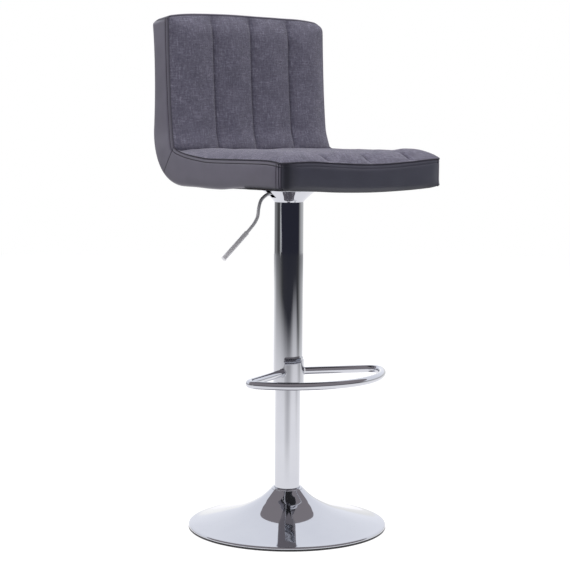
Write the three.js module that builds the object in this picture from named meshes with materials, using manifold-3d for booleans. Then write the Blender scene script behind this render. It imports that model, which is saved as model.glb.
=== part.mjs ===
// Adjustable swivel stool: a gas-lift bar stool with a channelled seat and back.
// Millimetres, +Z up. The origin is on the floor under the column, the sitter faces -Y.
// Built from the floor up: weighted base, column and gas spring, sleeve with footrest,
// seat plate with its release lever, then the framed and upholstered seat.
import * as THREE from 'three';
import { mergeVertices } from 'three/addons/utils/BufferGeometryUtils.js';
import Module from 'manifold-3d';

const wasm = await Module();
wasm.setup();

// ---- Driving dimensions ------------------------------------------------------------

// Clearances shared by every fit.
const FIT = 0.3;                    // between faces that touch
const SLIDE_FIT = 0.3;              // between parts that run in each other

// Base: a weight disc on a floor guard, under a spun trumpet cover.
const BASE_RADIUS = 204.5;
const GUARD_FLOOR = 2;              // thickness of the floor guard's sheet
const GUARD_RIM_HEIGHT = 4;
const GUARD_RIM_WIDTH = 4.5;
const WEIGHT_THICKNESS = 5;
const WEIGHT_STEP_HEIGHT = 14;      // the raised middle that hides the bolt head
const WEIGHT_STEP_RADIUS = 45;
const WEIGHT_STEP_RAMP = 15;
const COVER_SHEET = 1.5;
const COVER_LIP = 4.5;              // height of the turned edge of the cover
const FLARE_HEIGHT = 79.5;          // floor to the mouth of the trumpet
const FLARE_MOUTH_RADIUS = 33;
const SEAL_HEIGHT = 4;

// Column: the fixed stand tube and what holds it down.
const TUBE_RADIUS = 26;
const TUBE_WALL = 1.5;
const TUBE_TOP = 440;
const FOOT_PLUG_HEIGHT = 12.5;
const BOLT_RADIUS = 8;
const BOLT_HEAD_FLATS = 24;
const BOLT_HEAD_HEIGHT = 8;
const WASHER_RADIUS = 15;
const WASHER_THICKNESS = 1.8;
const ROD_PLATE_BOTTOM = 40;
const ROD_PLATE_THICKNESS = 4;
const BUSH_LENGTH = 90;
const BUSH_FLANGE = 2.6;

// Gas spring.
const STROKE = 210;
const LOWERED_GAP = 3.5;            // trumpet's mouth to the sleeve, with the seat down
const ROD_RADIUS = 5;
const ROD_FOOT = 35;                // floor to the lower end of the piston rod
const ROD_SHOULDER_RADIUS = 8;
const ROD_SHOULDER_HEIGHT = 3.6;
const CLIP_THICKNESS = 1.5;
const CLIP_RADIUS = 8;
const CLIP_GROOVE_DEPTH = 0.9;
const CLIP_MOUTH = 70;              // the opening in the ring, in degrees
const RACE_THICKNESS = 1.8;
const RACE_RADIUS = 12;
const BALL_RADIUS = 1.9;
const BALL_COUNT = 8;
const BALL_CIRCLE = 9;
const CAGE_THICKNESS = 1.6;
const CYLINDER_RADIUS = 14;
const CYLINDER_WALL = 1.8;
const CYLINDER_LENGTH = 341;
const CYLINDER_HEAD = 30;           // solid end that holds the valve
const TAPER_LENGTH = 33;
const TAPER_TIP_RADIUS = 13.1;
const GLAND_INSET = 2;              // cylinder's open end to the gland
const GLAND_LENGTH = 14;
const PISTON_LENGTH = 14;
const PISTON_GAP = 6;               // between the gland and the piston at full height
const ROD_END_PAST_PISTON = 4;
const VALVE_PIN_RADIUS = 3.5;
const VALVE_PIN_TIP_RADIUS = 2;
const VALVE_PIN_LENGTH = 36;
const LEVER_TO_PIN = 0.4;

// Sleeve, bell and mounting plate.
const SLEEVE_RADIUS = 30;
const SLEEVE_WALL = 1.5;
const SLEEVE_BUSH_INSET = 1;
const SLEEVE_BUSH_LENGTH = 24;
const BELL_SHEET = 1.5;
const BELL_HEIGHT = 29.6;
const BELL_RIM_RADIUS = 56;
const BELL_RIM_HEIGHT = 5.5;
const BELL_SLOT_WIDTH = 14;
const BELL_SLOT_DEPTH = 20;
const PLATE_HALF = 62;
const PLATE_SHEET = 2.5;
const PLATE_RIM = 5.7;
const PLATE_CORNER = 8;
const PLATE_HOLE_PITCH = 94;
const SOCKET_RADIUS = 19;
const SOCKET_HEIGHT = 47.9;
const SOCKET_MOUTH_RADIUS = 15;

// Release lever.
const LEVER_DROP = 10.9;            // bell's top to the middle of the lever
const LEVER_HEADROOM = 7.5;         // cylinder's end to the lever's underside
const PIVOT_OFFSET = 24;            // column axis to the lever's pivot
const PIVOT_PIN_RADIUS = 2.5;
const PIVOT_PIN_LENGTH = 21;
const LEVER_RADIUS = 3.5;
const LEVER_TAIL = 7;               // how far it reaches past the column axis
const LEVER_REACH = 113.5;          // column axis to the grip
const LEVER_FALL = 72.5;            // pivot down to the grip
const GRIP_ANGLE = 39.6;            // degrees below level
const LEVER_BOSS_RADIUS = 5.5;
const LEVER_BOSS_WIDTH = 11.8;
const EAR_THICKNESS = 3.5;
const GRIP_RADIUS = 5;
const GRIP_LENGTH = 71;
const GRIP_END_WALL = 4;

// Footrest.
const REST_TUBE_RADIUS = 7.8;
const REST_RISE = 25;               // saddle's lower edge to the middle of the bar
const REST_FRONT = 196;             // column axis to the middle of the front bar
const REST_ARC_RADIUS = 190;
const REST_LEG_ANGLE = 24.5;        // degrees that each leg slants forward
const REST_LEG_OFFSET = 4;
const REST_CORNER_RADIUS = 24;
const SADDLE_RISE = 7;              // sleeve's lower end to the saddle
const SADDLE_HEIGHT = 56;
const SADDLE_SHEET = 3;
const SADDLE_LIP = 6.5;
const SADDLE_LIP_SHEET = 1.5;
const SADDLE_HALF_ANGLE = 54;
const SADDLE_CORNER_RADIUS = 9;

// Seat and back: overall form.
const SEAT_WIDTH = 410;
const SEAT_FRONT = 231;             // column axis to the front face
const SEAT_BOTTOM = 706;
const SEAT_THICKNESS = 56;          // underside to the top edge of the leather band
const SEAT_CROWN = 18;
const BACK_REAR = 189;              // column axis to the rear face above the bend
const BACK_HEIGHT = 349;            // underside of the seat to the top of the back
const WAIST_DIP = 4;                // how far the rear face bows in at its middle
const TOP_FLARE = 3;                // and leans out at its top
const BACK_TOP_DEPTH = 59;          // rear face to the front seam, at the top
const BACK_LOW_DEPTH = 65;          // and just above the seat
const BACK_CROWN = 15;
const CORNER_DEPTH = 74;            // rear face to where the seat and back seams meet
const CORNER_RISE = 21;             // and how far that lies over the seat's seam
const SEAM_RAMP = 95;               // the stretch over which the seat's seam climbs to it
const REAR_BEND = 108;              // radius of the bend under the back
const TOP_REAR_RADIUS = 20;
const TOP_FRONT_RADIUS = 8;
const FRONT_LOWER_RADIUS = 10;
const COVER_THICKNESS = 4;          // leather with its backing
const COVER_FOLD = 6;               // how far the rear cover folds in under the seat
const TOP_STRIP_DROP = 1.5;         // how far it folds down over the front of the back
const DUST_COVER_THICKNESS = 2;
const CHANNEL_COUNT = 4;
const CHANNEL_DEPTH = 6;
const CHANNEL_WIDTH = 12;
const PANEL_EDGE = 2.5;             // thickness of the quilted panels at their seams
const CROWN_ROLL = 34;              // how far in from the seam the crown is reached

// Frame inside the seat.
const BOARD_THICKNESS = 12;
const BACK_WADDING = 3;             // between the rear cover and the back board
const BACK_BOARD_DROP = 19;         // top of the back to the board's upper edge
const BOARD_MARGIN = 12;            // board edge to the side of the seat
const STRAP_THICKNESS = 4;
const STRAP_WIDTH = 30;
const STRAP_SPREAD = 110;
const STRAP_FRONT = 10;
const STRAP_RISE = 174;             // underside of the seat to the straps' upper ends
const STRAP_BEND = 95;
const STRAP_SCREW_PITCH = 36;
const STRAP_SCREW_INSET = 16;
const WOOD_SCREW_RADIUS = 2.5;
const WOOD_SCREW_LENGTH = 11;
const WOOD_SCREW_HEAD_RADIUS = 4.6;
const WOOD_SCREW_HEAD_HEIGHT = 2;
const SEAT_SCREW_RADIUS = 3;
const SEAT_SCREW_LENGTH = 16;
const SEAT_SCREW_HEAD_RADIUS = 6;
const SEAT_SCREW_HEAD_HEIGHT = 2.2;
const TEE_NUT_BARREL_RADIUS = 4.2;
const TEE_NUT_FLANGE_RADIUS = 9;
const TEE_NUT_FLANGE = 1.5;

// Facet counts.
const BIG_ROUND = 48;
const ROUND = 32;
const SMALL_ROUND = 12;
const BAR_FACETS = 10;

// ---- Levels and lines worked out from the sizes --------------------------------------

const plateTop = SEAT_BOTTOM - FIT;
const plateUnderside = plateTop - PLATE_SHEET;
const bellTop = plateUnderside - FIT;
const bellBottom = bellTop - BELL_HEIGHT;
const sleeveTop = bellBottom - FIT;
const sleeveBottom = FLARE_HEIGHT + LOWERED_GAP + STROKE;
const leverHeight = bellTop - LEVER_DROP;
const leverBottom = leverHeight - LEVER_RADIUS;
const cylinderTop = leverBottom - LEVER_HEADROOM;
const cylinderBottom = cylinderTop - CYLINDER_LENGTH;
const saddleBottom = sleeveBottom + SADDLE_RISE;
const saddleTop = saddleBottom + SADDLE_HEIGHT;
const restHeight = saddleBottom + REST_RISE;
const seatSeamLevel = SEAT_BOTTOM + SEAT_THICKNESS;
const backTop = SEAT_BOTTOM + BACK_HEIGHT;
const backWaist = BACK_REAR - WAIST_DIP;
const backTopRear = BACK_REAR + TOP_FLARE;
const backSeamTop = backTopRear - BACK_TOP_DEPTH;
const backSeamLow = BACK_REAR - BACK_LOW_DEPTH;
const cornerY = BACK_REAR - CORNER_DEPTH;
const cornerZ = seatSeamLevel + CORNER_RISE;
const backBoardRear = backWaist - COVER_THICKNESS - BACK_WADDING;
const strapTop = SEAT_BOTTOM + STRAP_RISE;

// ---- Finishes ----------------------------------------------------------------------

function finish(color, roughness, metalness) {
  return () => new THREE.MeshStandardMaterial({ color, roughness, metalness });
}
const chrome = finish(0xd6d8df, 0.08, 1);
const bareSteel = finish(0x8d9096, 0.45, 1);
const zincSteel = finish(0xb4b6b8, 0.4, 1);
const blackSteel = finish(0x1d1d1f, 0.5, 0.4);
const blackPlastic = finish(0x151516, 0.6, 0);
const nylon = finish(0xe6e4dc, 0.55, 0);
const plywood = finish(0xb98f5f, 0.75, 0);
const foam = finish(0xd9cfb2, 0.95, 0);
const leather = finish(0x46434b, 0.5, 0);
const linen = finish(0x55515c, 0.95, 0);
const dustCloth = finish(0x1b1b1c, 0.95, 0);

// ---- Shape tools -------------------------------------------------------------------

const group = new THREE.Group();

function addPart(name, geometry, makeMaterial) {
  const mesh = new THREE.Mesh(geometry, makeMaterial());
  mesh.name = name;
  group.add(mesh);
}

// Keeps only positions, merges shared vertices and makes the faces point outwards.
function tidy(geometry) {
  const plain = geometry.clone();
  plain.deleteAttribute('normal');
  plain.deleteAttribute('uv');
  const merged = mergeVertices(plain, 1e-4);
  const p = merged.attributes.position;
  const kept = [];
  let volume = 0;
  const a = new THREE.Vector3();
  const b = new THREE.Vector3();
  const c = new THREE.Vector3();
  for (let i = 0; i < merged.index.count; i += 3) {
    const [i0, i1, i2] = [0, 1, 2].map((k) => merged.index.getX(i + k));
    if (i0 === i1 || i1 === i2 || i2 === i0) continue;
    kept.push(i0, i1, i2);
    a.fromBufferAttribute(p, i0);
    b.fromBufferAttribute(p, i1);
    c.fromBufferAttribute(p, i2);
    volume += a.dot(b.cross(c));
  }
  if (volume < 0) kept.reverse();
  merged.setIndex(kept);
  return merged;
}

function toSolid(geometry) {
  const merged = tidy(geometry);
  return new wasm.Manifold(new wasm.Mesh({
    numProp: 3,
    vertProperties: new Float32Array(merged.attributes.position.array),
    triVerts: new Uint32Array(merged.index.array),
  }));
}

function fromSolid(solid) {
  const mesh = solid.getMesh();
  const geometry = new THREE.BufferGeometry();
  geometry.setAttribute('position', new THREE.BufferAttribute(mesh.vertProperties.slice(), 3));
  geometry.setIndex(Array.from(mesh.triVerts));
  return geometry;
}

function cut(geometry, ...tools) {
  return fromSolid(tools.reduce((left, tool) => left.subtract(toSolid(tool)), toSolid(geometry)));
}

function join(geometry, ...others) {
  return fromSolid(others.reduce((sum, other) => sum.add(toSolid(other)), toSolid(geometry)));
}

function common(geometry, other) {
  return fromSolid(toSolid(geometry).intersect(toSolid(other)));
}

// Turns a list of [radius, height] points about the Z axis.
function turned(points, facets = ROUND) {
  const profile = points.map(([r, z]) => new THREE.Vector2(r, z));
  return tidy(new THREE.LatheGeometry(profile, facets).rotateX(Math.PI / 2));
}

function ring(inner, outer, bottom, top, facets = ROUND) {
  const loop = [[inner, bottom], [outer, bottom], [outer, top], [inner, top], [inner, bottom]];
  return turned(loop, facets);
}

function disc(radius, bottom, top, facets = ROUND) {
  return turned([[0, bottom], [radius, bottom], [radius, top], [0, top]], facets);
}

function box(x0, x1, y0, y1, z0, z1) {
  const geometry = new THREE.BoxGeometry(x1 - x0, y1 - y0, z1 - z0);
  return geometry.translate((x0 + x1) / 2, (y0 + y1) / 2, (z0 + z1) / 2);
}

function shapeOf(points) {
  return new THREE.Shape(points.map(([u, v]) => new THREE.Vector2(u, v)));
}

// Extrudes an outline drawn in (x, y) upwards.
function prismZ(shape, bottom, top) {
  const settings = { depth: top - bottom, bevelEnabled: false, curveSegments: 6 };
  return tidy(new THREE.ExtrudeGeometry(shape, settings).translate(0, 0, bottom));
}

// Extrudes an outline drawn in (y, z) sideways, from x0 to x1.
function prismX(points, x0, x1) {
  const settings = { depth: x1 - x0, bevelEnabled: false };
  const geometry = new THREE.ExtrudeGeometry(shapeOf(points), settings);
  const turn = new THREE.Matrix4().makeBasis(
    new THREE.Vector3(0, 1, 0),
    new THREE.Vector3(0, 0, 1),
    new THREE.Vector3(1, 0, 0),
  );
  return tidy(geometry.applyMatrix4(turn).translate(x0, 0, 0));
}

// Points of an arc in a plane, from one angle to another, in degrees.
function arcPoints(u, v, radius, from, to, steps) {
  return Array.from({ length: steps + 1 }, (_, i) => {
    const angle = THREE.MathUtils.degToRad(from + ((to - from) * i) / steps);
    return [u + radius * Math.cos(angle), v + radius * Math.sin(angle)];
  });
}

// Moves an open line sideways by a distance, to the left of its direction of travel.
function offsetLine(points, distance) {
  const sides = points.slice(1).map(([u, v], i) => {
    const [du, dv] = [u - points[i][0], v - points[i][1]];
    const length = Math.hypot(du, dv);
    return [-dv / length, du / length];
  });
  return points.map(([u, v], i) => {
    const before = sides[Math.max(i - 1, 0)];
    const after = sides[Math.min(i, sides.length - 1)];
    const sum = [before[0] + after[0], before[1] + after[1]];
    const scale = (2 * distance) / (sum[0] ** 2 + sum[1] ** 2);
    return [u + sum[0] * scale, v + sum[1] * scale];
  });
}

// A flat path lifted into space, so that a bar can follow it.
class LiftedPath extends THREE.Curve {
  constructor(path, lift) {
    super();
    this.path = path;
    this.lift = lift;
  }

  getPoint(t) {
    const p = this.path.getPoint(t);
    return this.lift(p.x, p.y);
  }
}

function barAlong(curve, radius, steps, facets) {
  const section = shapeOf(arcPoints(0, 0, radius, 0, 360 - 360 / facets, facets - 1));
  const settings = { steps, extrudePath: curve, bevelEnabled: false };
  return tidy(new THREE.ExtrudeGeometry(section, settings));
}

// ---- Base --------------------------------------------------------------------------

const guardTop = GUARD_RIM_HEIGHT;
const weightBottom = GUARD_FLOOR + FIT;
const weightTop = weightBottom + WEIGHT_THICKNESS;
const stepBottom = weightBottom + WEIGHT_STEP_HEIGHT;
const stepTop = stepBottom + WEIGHT_THICKNESS;
const boltHole = BOLT_RADIUS + FIT;

function makeFloorGuard() {
  const wall = BASE_RADIUS - GUARD_RIM_WIDTH;
  return turned([
    [0, 0], [BASE_RADIUS - 1, 0], [BASE_RADIUS, 1], [BASE_RADIUS, guardTop],
    [wall, guardTop], [wall, GUARD_FLOOR], [0, GUARD_FLOOR],
  ], BIG_ROUND);
}

function makeBaseWeight() {
  const edge = BASE_RADIUS - GUARD_RIM_WIDTH - FIT;
  const foot = WEIGHT_STEP_RADIUS + WEIGHT_STEP_RAMP;
  return turned([
    [boltHole, stepBottom], [WEIGHT_STEP_RADIUS, stepBottom], [foot, weightBottom],
    [edge, weightBottom], [edge, weightTop], [foot, weightTop],
    [WEIGHT_STEP_RADIUS, stepTop], [boltHole, stepTop], [boltHole, stepBottom],
  ], BIG_ROUND);
}

// The outer line of the trumpet as [radius, height], from its mouth to its turned edge.
// The hollow curve is set by shares of its run from the mouth and of its rise over the rim.
function trumpetLine() {
  const crest = guardTop + FIT + COVER_LIP;
  const run = BASE_RADIUS - FLARE_MOUTH_RADIUS;
  const rise = FLARE_HEIGHT - crest;
  const curve = [
    [0, 1], [0.073, 0.83], [0.125, 0.724], [0.169, 0.653], [0.25, 0.54],
    [0.385, 0.389], [0.566, 0.247], [0.743, 0.127], [0.913, 0.025],
  ];
  return [
    ...curve.map(([out, up]) => [FLARE_MOUTH_RADIUS + out * run, crest + up * rise]),
    [BASE_RADIUS - COVER_LIP, crest],
    [BASE_RADIUS - COVER_LIP / 4, crest - COVER_LIP / 4],
    [BASE_RADIUS, crest - COVER_LIP * 0.7],
    [BASE_RADIUS, guardTop + FIT],
  ];
}

function makeBaseCover() {
  const outer = trumpetLine();
  const inner = offsetLine(outer, -COVER_SHEET).reverse();
  return turned([...outer, ...inner, outer[0]], BIG_ROUND);
}

addPart('floor_guard', makeFloorGuard(), blackPlastic);
addPart('base_weight', makeBaseWeight(), bareSteel);
addPart('base_cover', makeBaseCover(), chrome);

// ---- Column ------------------------------------------------------------------------

const tubeBottom = stepTop + FIT;
const tubeBore = TUBE_RADIUS - TUBE_WALL;
const plugTop = tubeBottom + FOOT_PLUG_HEIGHT;
const washerTop = stepBottom - FIT;
const washerBottom = washerTop - WASHER_THICKNESS;
const boltHeadTop = washerBottom - FIT;
const rodPlateTop = ROD_PLATE_BOTTOM + ROD_PLATE_THICKNESS;
const bushBottom = TUBE_TOP - BUSH_LENGTH;
const bushBore = CYLINDER_RADIUS + SLIDE_FIT;

function hexagon(flats) {
  const corner = flats / 2 / Math.cos(Math.PI / 6);
  return shapeOf(arcPoints(0, 0, corner, 0, 300, 5));
}

function makeClampBolt() {
  const head = prismZ(hexagon(BOLT_HEAD_FLATS), boltHeadTop - BOLT_HEAD_HEIGHT, boltHeadTop);
  const shank = disc(BOLT_RADIUS, boltHeadTop - 1, plugTop - 1.5, SMALL_ROUND);
  return join(head, shank);
}

function makeGuideBush() {
  const outer = tubeBore - FIT;
  const top = TUBE_TOP + FIT;
  return turned([
    [bushBore, bushBottom], [outer, bushBottom], [outer, top], [TUBE_RADIUS, top],
    [TUBE_RADIUS, top + BUSH_FLANGE], [bushBore, top + BUSH_FLANGE], [bushBore, bushBottom],
  ]);
}

const sealOuter = FLARE_MOUTH_RADIUS - COVER_SHEET - FIT;
addPart('flare_seal', ring(TUBE_RADIUS + FIT, sealOuter, FLARE_HEIGHT - SEAL_HEIGHT, FLARE_HEIGHT),
  blackPlastic);
addPart('stand_tube', ring(tubeBore, TUBE_RADIUS, tubeBottom, TUBE_TOP), chrome);
addPart('foot_plug', ring(boltHole, tubeBore - FIT, tubeBottom, plugTop), bareSteel);
addPart('rod_plate', ring(ROD_RADIUS + FIT, tubeBore - FIT, ROD_PLATE_BOTTOM, rodPlateTop),
  bareSteel);
addPart('clamp_bolt', makeClampBolt(), zincSteel);
addPart('clamp_washer', ring(boltHole, WASHER_RADIUS, washerBottom, washerTop, SMALL_ROUND),
  zincSteel);
addPart('guide_bush', makeGuideBush(), nylon);

// ---- Thrust bearing and piston rod, which turn with the seat -------------------------

const raceBore = ROD_RADIUS + FIT;
const lowerRaceBottom = rodPlateTop + FIT;
const lowerRaceTop = lowerRaceBottom + RACE_THICKNESS;
const ballCentre = lowerRaceTop + FIT + BALL_RADIUS;
const upperRaceBottom = ballCentre + BALL_RADIUS + FIT;
const upperRaceTop = upperRaceBottom + RACE_THICKNESS;
const shoulderBottom = upperRaceTop + FIT;
const clipTop = ROD_PLATE_BOTTOM - FIT;
const clipBottom = clipTop - CLIP_THICKNESS;
const grooveRadius = ROD_RADIUS - CLIP_GROOVE_DEPTH;
const glandBottom = cylinderBottom + GLAND_INSET;
const glandTop = glandBottom + GLAND_LENGTH;
const pistonBottom = glandTop + PISTON_GAP;
const pistonTop = pistonBottom + PISTON_LENGTH;

function makeBearingCage() {
  const half = CAGE_THICKNESS / 2;
  const cage = ring(BALL_CIRCLE - 2, BALL_CIRCLE + 2, ballCentre - half, ballCentre + half,
    SMALL_ROUND);
  const balls = Array.from({ length: BALL_COUNT }, (_, i) => {
    const angle = (2 * Math.PI * i) / BALL_COUNT;
    const ball = new THREE.SphereGeometry(BALL_RADIUS, 6, 4);
    const [x, y] = [BALL_CIRCLE * Math.cos(angle), BALL_CIRCLE * Math.sin(angle)];
    return ball.translate(x, y, ballCentre);
  });
  return join(cage, ...balls);
}

function makePistonRod() {
  const shoulderTop = shoulderBottom + ROD_SHOULDER_HEIGHT;
  const rodTop = pistonTop + ROD_END_PAST_PISTON;
  return turned([
    [0, ROD_FOOT], [ROD_RADIUS, ROD_FOOT], [ROD_RADIUS, clipBottom - FIT],
    [grooveRadius, clipBottom - FIT], [grooveRadius, clipTop + FIT / 2],
    [ROD_RADIUS, clipTop + FIT / 2], [ROD_RADIUS, shoulderBottom],
    [ROD_SHOULDER_RADIUS, shoulderBottom], [ROD_SHOULDER_RADIUS, shoulderTop],
    [ROD_RADIUS, shoulderTop], [ROD_RADIUS, rodTop], [0, rodTop],
  ], SMALL_ROUND);
}

function makeRodClip() {
  const [from, to] = [CLIP_MOUTH / 2, 360 - CLIP_MOUTH / 2];
  const outer = arcPoints(0, 0, CLIP_RADIUS, from, to, 18);
  const inner = arcPoints(0, 0, grooveRadius + FIT, to, from, 18);
  return prismZ(shapeOf([...outer, ...inner]), clipBottom, clipTop);
}

addPart('bearing_lower_race', ring(raceBore, RACE_RADIUS, lowerRaceBottom, lowerRaceTop,
  SMALL_ROUND), bareSteel);
addPart('bearing_cage', makeBearingCage(), bareSteel);
addPart('bearing_upper_race', ring(raceBore, RACE_RADIUS, upperRaceBottom, upperRaceTop,
  SMALL_ROUND), bareSteel);
addPart('piston_rod', makePistonRod(), bareSteel);
addPart('rod_clip', makeRodClip(), zincSteel);

// ---- Gas cylinder --------------------------------------------------------------------

const cylinderBore = CYLINDER_RADIUS - CYLINDER_WALL;
const headBottom = cylinderTop - CYLINDER_HEAD;
const taperBottom = cylinderTop - TAPER_LENGTH;
const pinHole = VALVE_PIN_RADIUS + FIT;
const pinTop = leverBottom - LEVER_TO_PIN;

function makePressureTube() {
  return turned([
    [cylinderBore, cylinderBottom], [CYLINDER_RADIUS, cylinderBottom],
    [CYLINDER_RADIUS, taperBottom], [TAPER_TIP_RADIUS, cylinderTop],
    [pinHole, cylinderTop], [pinHole, headBottom], [cylinderBore, headBottom],
    [cylinderBore, cylinderBottom],
  ]);
}

function makeValvePin() {
  const bottom = pinTop - VALVE_PIN_LENGTH;
  return turned([
    [0, bottom], [VALVE_PIN_RADIUS, bottom], [VALVE_PIN_RADIUS, pinTop - 3],
    [VALVE_PIN_TIP_RADIUS, pinTop - 1], [VALVE_PIN_TIP_RADIUS, pinTop], [0, pinTop],
  ], SMALL_ROUND);
}

addPart('piston', ring(raceBore, cylinderBore - FIT, pistonBottom, pistonTop, SMALL_ROUND), nylon);
addPart('rod_gland', ring(raceBore, cylinderBore - FIT, glandBottom, glandTop,
  SMALL_ROUND), nylon);
addPart('pressure_tube', makePressureTube(), blackSteel);
addPart('valve_pin', makeValvePin(), zincSteel);

// ---- Sleeve, bell and mounting plate -------------------------------------------------

const sleeveBore = SLEEVE_RADIUS - SLEEVE_WALL;
const sleeveBushBottom = sleeveBottom + SLEEVE_BUSH_INSET;
const holeOffset = PLATE_HOLE_PITCH / 2;
const corners = [[1, 1], [-1, 1], [-1, -1], [1, -1]];
const seatHole = SEAT_SCREW_RADIUS + FIT;

function roundedSquare(half, radius) {
  const centre = half - radius;
  return shapeOf(corners.flatMap(([sx, sy], i) =>
    arcPoints(sx * centre, sy * centre, radius, 90 * i, 90 * i + 90, 3)));
}

function makeBell() {
  const outer = [
    [SLEEVE_RADIUS, bellBottom], [SLEEVE_RADIUS + 1.5, bellBottom + 2.5],
    [BELL_RIM_RADIUS - 1.5, bellTop - BELL_RIM_HEIGHT - 1.2],
    [BELL_RIM_RADIUS, bellTop - BELL_RIM_HEIGHT + 1], [BELL_RIM_RADIUS, bellTop],
  ];
  const inner = offsetLine(outer, BELL_SHEET).reverse();
  inner[inner.length - 1] = [sleeveBore, bellBottom];
  const shell = turned([...outer, ...inner, outer[0]]);
  const half = BELL_SLOT_WIDTH / 2;
  const slot = box(-BELL_RIM_RADIUS - 5, -SLEEVE_RADIUS, -half, half, bellTop - BELL_SLOT_DEPTH,
    bellTop + 5);
  return cut(shell, slot);
}

function screwHoles(radius, bottom, top) {
  return corners.map(([sx, sy]) =>
    disc(radius, bottom, top, SMALL_ROUND).translate(sx * holeOffset, sy * holeOffset, 0));
}

function makeSeatPlate() {
  const rimInner = PLATE_HALF - PLATE_SHEET;
  const outer = prismZ(roundedSquare(PLATE_HALF, PLATE_CORNER), plateTop - PLATE_RIM, plateTop);
  const hollow = prismZ(roundedSquare(rimInner, PLATE_CORNER - PLATE_SHEET),
    plateTop - PLATE_RIM - 1, plateUnderside);
  return cut(outer, hollow, ...screwHoles(seatHole, plateTop - PLATE_RIM, plateTop + 1));
}

// The welded socket grips the cylinder's taper; its ears carry the lever's pivot pin.
const slotHalf = LEVER_BOSS_WIDTH / 2 + FIT;
const earOuter = slotHalf + EAR_THICKNESS;
const socketBottom = bellTop - SOCKET_HEIGHT;

function makeCylinderSocket() {
  const straight = CYLINDER_RADIUS + FIT;
  const body = turned([
    [straight, socketBottom], [SOCKET_RADIUS, socketBottom], [SOCKET_RADIUS, bellTop],
    [SOCKET_MOUTH_RADIUS, bellTop], [SOCKET_MOUTH_RADIUS, cylinderTop + 1],
    [straight, cylinderTop - 1], [straight, socketBottom],
  ]);
  const earReach = PIVOT_OFFSET + LEVER_BOSS_RADIUS + 2;
  const earBottom = leverHeight - LEVER_BOSS_RADIUS - 3;
  const ears = [-1, 1].map((side) => {
    const [inner, outer] = [side * slotHalf, side * earOuter].sort((a, b) => a - b);
    return box(-earReach, -SOCKET_MOUTH_RADIUS, inner, outer, earBottom, bellTop);
  });
  const slot = box(-earReach - 1, 0, -slotHalf, slotHalf, leverHeight - 8.5, leverHeight + 8);
  const pinBore = disc(PIVOT_PIN_RADIUS + FIT, -20, 20, SMALL_ROUND).rotateX(Math.PI / 2)
    .translate(-PIVOT_OFFSET, 0, leverHeight);
  return cut(join(body, ...ears), slot, pinBore);
}

addPart('outer_sleeve', ring(sleeveBore, SLEEVE_RADIUS, sleeveBottom, sleeveTop), chrome);
addPart('sleeve_bush', ring(TUBE_RADIUS + SLIDE_FIT, sleeveBore - FIT, sleeveBushBottom,
  sleeveBushBottom + SLEEVE_BUSH_LENGTH), blackPlastic);
addPart('bell', makeBell(), chrome);
addPart('seat_plate', makeSeatPlate(), blackSteel);
addPart('cylinder_socket', makeCylinderSocket(), blackSteel);

// ---- Release lever -------------------------------------------------------------------

const pinHalf = PIVOT_PIN_LENGTH / 2;
const gripFoot = [-LEVER_REACH, leverHeight - LEVER_FALL];
const gripSlant = THREE.MathUtils.degToRad(GRIP_ANGLE);
const gripDirection = [-Math.cos(gripSlant), -Math.sin(gripSlant)];

// The lever's centre line in (x, z), from over the valve pin, out of the bell and down.
// Its two bends are set by shares of the reach and of the fall.
function leverLine() {
  const innerEnd = GRIP_LENGTH - GRIP_END_WALL - FIT;
  const bends = [
    [0.423, 0], [0.546, 0.048], [0.67, 0.18], [0.722, 0.372], [0.753, 0.607], [0.828, 0.772],
  ];
  return [
    [LEVER_TAIL, leverHeight], [-PIVOT_OFFSET, leverHeight],
    ...bends.map(([out, down]) => [-out * LEVER_REACH, leverHeight - down * LEVER_FALL]),
    gripFoot,
    [gripFoot[0] + gripDirection[0] * innerEnd, gripFoot[1] + gripDirection[1] * innerEnd],
  ];
}

function makeLeverRod() {
  const path = new THREE.Path();
  const [first, ...rest] = leverLine().map(([x, z]) => new THREE.Vector2(x, z));
  path.moveTo(first.x, first.y);
  path.splineThru(rest);
  const rod = barAlong(new LiftedPath(path, (x, z) => new THREE.Vector3(x, 0, z)),
    LEVER_RADIUS, 40, BAR_FACETS);
  const half = LEVER_BOSS_WIDTH / 2;
  const boss = disc(LEVER_BOSS_RADIUS, -half, half, SMALL_ROUND);
  const bore = disc(PIVOT_PIN_RADIUS + FIT, -half - 1, half + 1, SMALL_ROUND);
  const place = (geometry) => geometry.rotateX(Math.PI / 2).translate(-PIVOT_OFFSET, 0,
    leverHeight);
  return cut(join(rod, place(boss)), place(bore));
}

function makeLeverGrip() {
  const bore = LEVER_RADIUS + FIT;
  const inner = GRIP_LENGTH - GRIP_END_WALL;
  const grip = turned([
    [0, inner], [bore, inner], [bore, 0], [GRIP_RADIUS - 0.6, 0], [GRIP_RADIUS, 0.8],
    [GRIP_RADIUS, GRIP_LENGTH - 1.2], [GRIP_RADIUS - 1.2, GRIP_LENGTH], [0, GRIP_LENGTH],
  ], SMALL_ROUND);
  const along = new THREE.Vector3(gripDirection[0], 0, gripDirection[1]).normalize();
  const turn = new THREE.Quaternion().setFromUnitVectors(new THREE.Vector3(0, 0, 1), along);
  return grip.applyQuaternion(turn).translate(gripFoot[0], 0, gripFoot[1]);
}

addPart('lever_pivot_pin', disc(PIVOT_PIN_RADIUS, -pinHalf, pinHalf, SMALL_ROUND)
  .rotateX(Math.PI / 2).translate(-PIVOT_OFFSET, 0, leverHeight), zincSteel);
addPart('lever_rod', makeLeverRod(), chrome);
addPart('lever_grip', makeLeverGrip(), chrome);

// ---- Footrest ------------------------------------------------------------------------

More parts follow.
